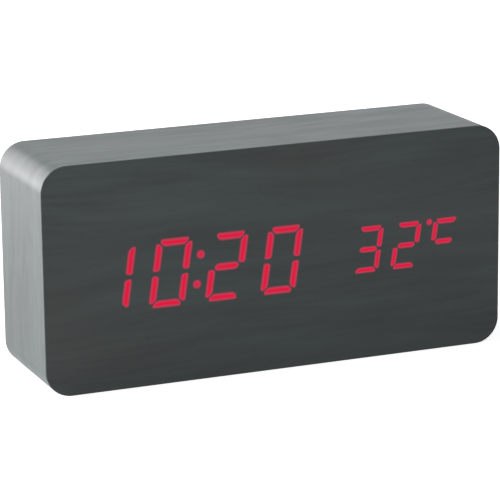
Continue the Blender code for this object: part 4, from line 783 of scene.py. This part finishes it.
# Round solid in a bmesh: (radius, reach) pairs spun about an axis through a centre
def addSpun(work, profile, centre, axis, steps=48):
    centre, axis, side = Vector(centre), Vector(axis), Vector((0, 0, 1))
    verts = [work.verts.new((centre + side * radius + axis * reach) * mm) for radius, reach in profile]
    lines = [work.edges.new(pair) for pair in zip(verts, verts[1:])]
    bmesh.ops.spin(
        work, geom=verts + lines, cent=centre * mm, axis=axis, angle=2 * math.pi, steps=steps,
        use_merge=True, use_duplicate=False,
    )


# Back panel: a thin board set into the block, film on its outer face and bare fibre on its edges
panelEdge = 0.2


def buildBackPanel():
    panelBack = boxOf("back_panel")[1].y
    finishedCopy(
        "back_panel", [film, bareBoard], panelEdge, grain=True,
        pick=lambda x, y, z, facing: 0 if facing.y > 0.5 and y > panelBack - panelEdge else 1,
    )


buildBackPanel()


# Controls: three domed caps on the plate, each marked with a plain printed sign
buttonShape = {
    "radius": 3.2,
    "edge": 0.4,
    "dish": 0.15,          # how far the middle of the cap is dished for a fingertip
    "dishRadius": 2.4,
    "dishSteps": [(0, 1), (0.5, 0.85), (1, 0.2)],     # shares of the dish's radius and depth
    "stemRadius": 1.7,
    "flangeBack": 17.1,
    "flangeFront": 16.1,
}
signShape = {"rise": 6.3, "size": 0.95, "line": 0.35, "ink": 0.02}
# How far the edges of the other pieces are broken, and the depth of their second finish
controlShape = {
    "plungerEdge": 0.15,
    "switchEdge": 0.15,
    "switchLid": 0.2,      # thickness of the steel lid on a switch
    "plateEdge": 0.2,
    "jackEdge": 0.12,
    "pinEdge": 0.15,
    "sensorEdge": 0.2,
    "sensorLead": 1,       # bare length of the temperature sensor's leads
}


def buildButton(node):
    shape = buttonShape
    low, high = boxOf(node)
    top, flangeRadius = high.y, (high.x - low.x) / 2
    rounded = arcSteps((shape["radius"] - shape["edge"], top - shape["edge"]), shape["edge"], 90, 0, 6)
    dish = [(shape["dishRadius"] * out, top - shape["dish"] * down) for out, down in shape["dishSteps"]]
    profile = [*dish, *rounded]
    profile += [(shape["radius"], shape["flangeBack"]), (flangeRadius, shape["flangeBack"])]
    profile += [(flangeRadius, shape["flangeFront"]), (shape["stemRadius"], shape["flangeFront"])]
    profile += [(shape["stemRadius"], low.y), (0, low.y)]
    work = bmesh.new()
    addSpun(work, profile, ((low.x + high.x) / 2, 0, (low.z + high.z) / 2), (0, 1, 0))
    mergePoints(work)
    madePiece(node + "_cap", work, [plastics["black_button_abs"]], node, bodyOf[node])


# Flat printed sign on the plate above a button: a ring to set, and triangles that point up and down
def buildSign(name, outlines):
    plateBack = boxOf("control_plate")[1].y
    work = bmesh.new()
    for outline in outlines:
        addBand(work, [(outline, plateBack), (outline, plateBack + signShape["ink"])])
    for y in (plateBack, plateBack + signShape["ink"]):
        addCap(work, outlines, y)
    mergePoints(work)
    madePiece(name, work, [plastics["white_pad_ink"]], None)


def buildControls():
    shape = controlShape
    size, line = signShape["size"], signShape["line"]
    for node, turn in (("set_button", None), ("up_button", 90), ("down_button", -90)):
        buildButton(node)
        low, high = boxOf(node)
        place = ((low.x + high.x) / 2, (low.z + high.z) / 2 + signShape["rise"])
        outlines = [ring(size, place), ring(size - line, place)]
        if turn:
            outlines = [arcSteps(place, size, turn, turn + 240, 2)]
        buildSign(node + "_sign", outlines)
        finishedCopy(node + "_plunger", [plastics["white_abs"]], shape["plungerEdge"])
        switchBack = boxOf(node + "_switch")[1].y
        finishedCopy(
            node + "_switch", [plastics["black_abs"], metals["nickel_plated_steel"]], shape["switchEdge"],
            lambda x, y, z, facing: int(facing.y > 0.9 and y > switchBack - shape["switchLid"]),
        )
    finishedCopy("control_plate", [plastics["black_abs"]], shape["plateEdge"])
    finishedCopy("dc_jack", [plastics["black_polystyrene"]], shape["jackEdge"])
    finishedCopy("dc_jack_pin", [metals["nickel_plated_steel"]], shape["pinEdge"])
    leadStart = boxOf("temperature_sensor")[1].y - shape["sensorLead"]
    finishedCopy(
        "temperature_sensor", [plastics["chip_epoxy"], metals["tinned_copper"]], shape["sensorEdge"],
        lambda x, y, z, facing: int(y > leadStart),
    )


buildControls()
print("back panel and controls built")


# Battery supply: box, hinged door, and AAA cells in printed sleeves
cellShape = {
    "sleeveEdge": 0.6,
    "rim": 0.9,            # width of the sleeve's rolled ring on the flat ends
    "nubRadius": 1.9,
    "nubHeight": 0.9,
    "nubEdge": 0.3,
    "dish": 0.06,
    "band": 9,             # length of the coloured band at the plus end
    "bandFade": 0.05,
}
supplyShape = {"boxEdge": 0.2, "doorEdge": 0.25}


def buildCell(node, side):
    shape = cellShape
    low, high = boxOf(node)
    half, radius = (high.x - low.x) / 2, (high.z - low.z) / 2
    edge, nub, shoulder = shape["sleeveEdge"], shape["nubRadius"], half - shape["nubHeight"]
    nubEdge, dish = shape["nubEdge"], shape["dish"]
    bare, bandEnd = radius - shape["rim"], shoulder - shape["band"]
    profile = [(0, half), *arcSteps((nub - nubEdge, half - nubEdge), nubEdge, 90, 0, 4)]
    profile += [(nub, shoulder - dish), (bare, shoulder - dish), (bare, shoulder)]
    profile += arcSteps((radius - edge, shoulder - edge), edge, 90, 0, 5)
    profile += [(radius, bandEnd + shape["bandFade"]), (radius, bandEnd)]
    profile += arcSteps((radius - edge, edge - half), edge, 0, -90, 5)
    profile += [(bare, -half), (bare, dish - half), (0, dish - half)]
    work = bmesh.new()
    centre = (low + high) / 2
    addSpun(work, profile, centre, (side, 0, 0))
    mergePoints(work)
    band = work.verts.layers.float.new("end")
    for vert in work.verts:
        vert[band] = float((vert.co.x / mm - centre.x) * side > bandEnd + shape["bandFade"] / 2)
    for face in work.faces:
        offset = face.calc_center_median() / mm - centre
        face.material_index = int(Vector(offset.yz).length < bare)
    madePiece(node + "_sleeved", work, [sleeve, metals["nickel_plated_steel"]], node)


def buildBatterySupply():
    for number in range(1, 5):
        buildCell(f"aaa_cell_{number}", -1 if number % 2 else 1)
    finishedCopy("battery_box", [plastics["black_abs"]], supplyShape["boxEdge"])
    finishedCopy("battery_door", [plastics["black_abs"]], supplyShape["doorEdge"])
    for node in ("contact_plus", "contact_minus", "contact_link_1", "contact_link_2", "contact_link_3"):
        finishedCopy(node, [metals["nickel_plated_steel"]])
    finishedCopy("battery_lead_red", [plastics["red_pvc"]])
    finishedCopy("battery_lead_black", [plastics["black_pvc"]])


buildBatterySupply()
print("battery supply built")


# Display and electronics inside the block
insideShape = {
    "ledDepth": 0.75,      # how far the LED chips stand off the display board
    "screwEdge": 0.12,
    "chipEdge": 0.08,
    "chipWidth": 7.6,      # the pins stand outside this width, and the resin body lies inside it
    "crystalEdge": 0.15,
    "buzzerEdge": 0.25,
    "coinEdge": 0.25,
    "holderEdge": 0.15,
    "canEdge": 0.25,
    "canLid": 0.3,         # thickness of the bare end of the capacitor's can
}


def buildDisplay():
    boardFront = boxOf("display_board")[0].y
    finishedCopy("display_mask", [plastics["black_polystyrene"]])
    finishedCopy("display_reflector", [plastics["white_abs"]])
    finishedCopy(
        "display_board", [board, plastics["white_abs"]],
        pick=lambda x, y, z, facing: int(y < boardFront + insideShape["ledDepth"]),
    )
    finishedCopy("control_board", [board])
    finishedCopy("control_cable", [plastics["black_pvc"]])
    for kind, count in (("display", 4), ("panel", 4), ("control", 2)):
        for number in range(1, count + 1):
            finishedCopy(f"{kind}_screw_{number}", [metals["zinc_plated_steel"]], insideShape["screwEdge"])


def buildChip(node):
    low, high = boxOf(node)
    centre = (low.x + high.x) / 2
    finishedCopy(
        node, [plastics["chip_epoxy"], metals["tinned_copper"]], insideShape["chipEdge"],
        lambda x, y, z, facing: int(abs(x - centre) > insideShape["chipWidth"] / 2),
    )


def buildElectronics():
    buildChip("clock_chip")
    buildChip("led_driver_chip")
    finishedCopy("clock_crystal", [metals["nickel_plated_steel"]], insideShape["crystalEdge"])
    finishedCopy("buzzer", [plastics["black_abs"]], insideShape["buzzerEdge"])
    finishedCopy("backup_coin_cell", [metals["nickel_plated_steel"]], insideShape["coinEdge"])
    finishedCopy("coin_cell_holder", [plastics["black_abs"]], insideShape["holderEdge"])
    canTop = boxOf("filter_capacitor")[1].y
    finishedCopy(
        "filter_capacitor", [plastics["black_pvc"], metals["drawn_aluminium"]], insideShape["canEdge"],
        lambda x, y, z, facing: int(facing.y > 0.9 and y > canTop - insideShape["canLid"]),
    )


buildDisplay()
buildElectronics()
print("display and electronics built")


# Camera at the photograph's viewing angle, and a pale studio with soft lamps
cameraLook = {
    "azimuth": -22.34,
    "elevation": 14.21,
    "roll": -0.69,
    "distance": 854.9,
    "lens": 198.73,
    "sensor": 36,
    "target": (-1.18, 0.0, 33.15),
}
lampLooks = {
    "key": {"place": (-350, 60, 850), "size": 600, "power": 1.0},
    "rim": {"place": (-400, 850, 310), "size": 560, "power": 4.0},
    "back": {"place": (380, 920, 300), "size": 500, "power": 0.1},
    "side": {"place": (-780, 560, 30), "size": 620, "power": 27.0},
    "fill": {"place": (-150, -900, 420), "size": 600, "power": 2.85},
}
studioLook = {
    "aim": (0, 0, 35),
    "world": 0.22,         # how strongly the surroundings light the clock; they are seen as white
    "floor": "edeeed",
    "floorWhite": 0.75,    # added to the floor where it is seen, which keeps the clock's shadow on it
    "floorHalf": 3000,
}


def placeCamera(look):
    azimuth, elevation, roll = (math.radians(look[key]) for key in ("azimuth", "elevation", "roll"))
    forward = Vector((-math.sin(azimuth) * math.cos(elevation), math.cos(azimuth) * math.cos(elevation),
                      -math.sin(elevation)))
    level = forward.cross(Vector((0, 0, 1))).normalized()
    upright = level.cross(forward)
    right = level * math.cos(roll) + upright * math.sin(roll)
    up = upright * math.cos(roll) - level * math.sin(roll)
    camera = bpy.data.objects.new("camera", bpy.data.cameras.new("camera"))
    camera.data.lens = look["lens"]
    camera.data.sensor_width = look["sensor"]
    turn = Matrix((right, up, -forward)).transposed().to_4x4()
    eye = Vector(look["target"]) - forward * look["distance"]
    camera.matrix_world = Matrix.Translation(eye * mm) @ turn
    bpy.context.scene.collection.objects.link(camera)
    bpy.context.scene.camera = camera


def addLamp(name, look):
    lamp = bpy.data.lights.new(name, "AREA")
    lamp.shape = "DISK"
    lamp.size = look["size"] * mm
    lamp.energy = look["power"]
    holder = bpy.data.objects.new(name, lamp)
    holder.location = Vector(look["place"]) * mm
    away = Vector(look["place"]) - Vector(studioLook["aim"])
    holder.rotation_euler = away.to_track_quat("Z", "Y").to_euler()
    holder.visible_camera = False
    bpy.context.scene.collection.objects.link(holder)


# 1 for camera, glossy and transmission rays, so that metal and glossy plastic show the white studio too
def seenDirectly(tree):
    rays = addNode(tree, "LightPath").node.outputs
    either = {"operation": "MAXIMUM"}
    seen = addNode(tree, "Math", either, i0=rays["Is Camera Ray"], i1=rays["Is Glossy Ray"])
    return addNode(tree, "Math", either, i0=seen, i1=rays["Is Transmission Ray"])


def buildStudio(look):
    world = bpy.data.worlds.new("studio")
    bpy.context.scene.world = world
    world.use_nodes = True
    tree = world.node_tree
    tree.nodes.clear()
    strength = addNode(tree, "MapRange", i0=seenDirectly(tree), i1=0.0, i2=1.0, i3=look["world"], i4=1.0)
    light = addNode(tree, "Background", Color=(1, 1, 1, 1), Strength=strength)
    addNode(tree, "OutputWorld", Surface=light)
    material, tree = newMaterial("pale_floor")
    plain = addNode(tree, "BsdfDiffuse", Color=linearColour(look["floor"]))
    strength = addNode(tree, "Math", {"operation": "MULTIPLY"}, i0=seenDirectly(tree), i1=look["floorWhite"])
    white = addNode(tree, "Emission", Color=(1, 1, 1, 1), Strength=strength)
    both = addNode(tree, "AddShader", i0=plain, i1=white)
    addNode(tree, "OutputMaterial", Surface=both)
    work = bmesh.new()
    bmesh.ops.create_grid(work, x_segments=1, y_segments=1, size=look["floorHalf"] * mm)
    mesh = bpy.data.meshes.new("floor")
    work.to_mesh(mesh)
    work.free()
    mesh.materials.append(material)
    floor = bpy.data.objects.new("floor", mesh)
    bpy.context.scene.collection.objects.link(floor)


placeCamera(cameraLook)
for name, look in lampLooks.items():
    addLamp(name, look)
buildStudio(studioLook)
bpy.context.scene.view_settings.view_transform = "Standard"
print("camera and studio ready")
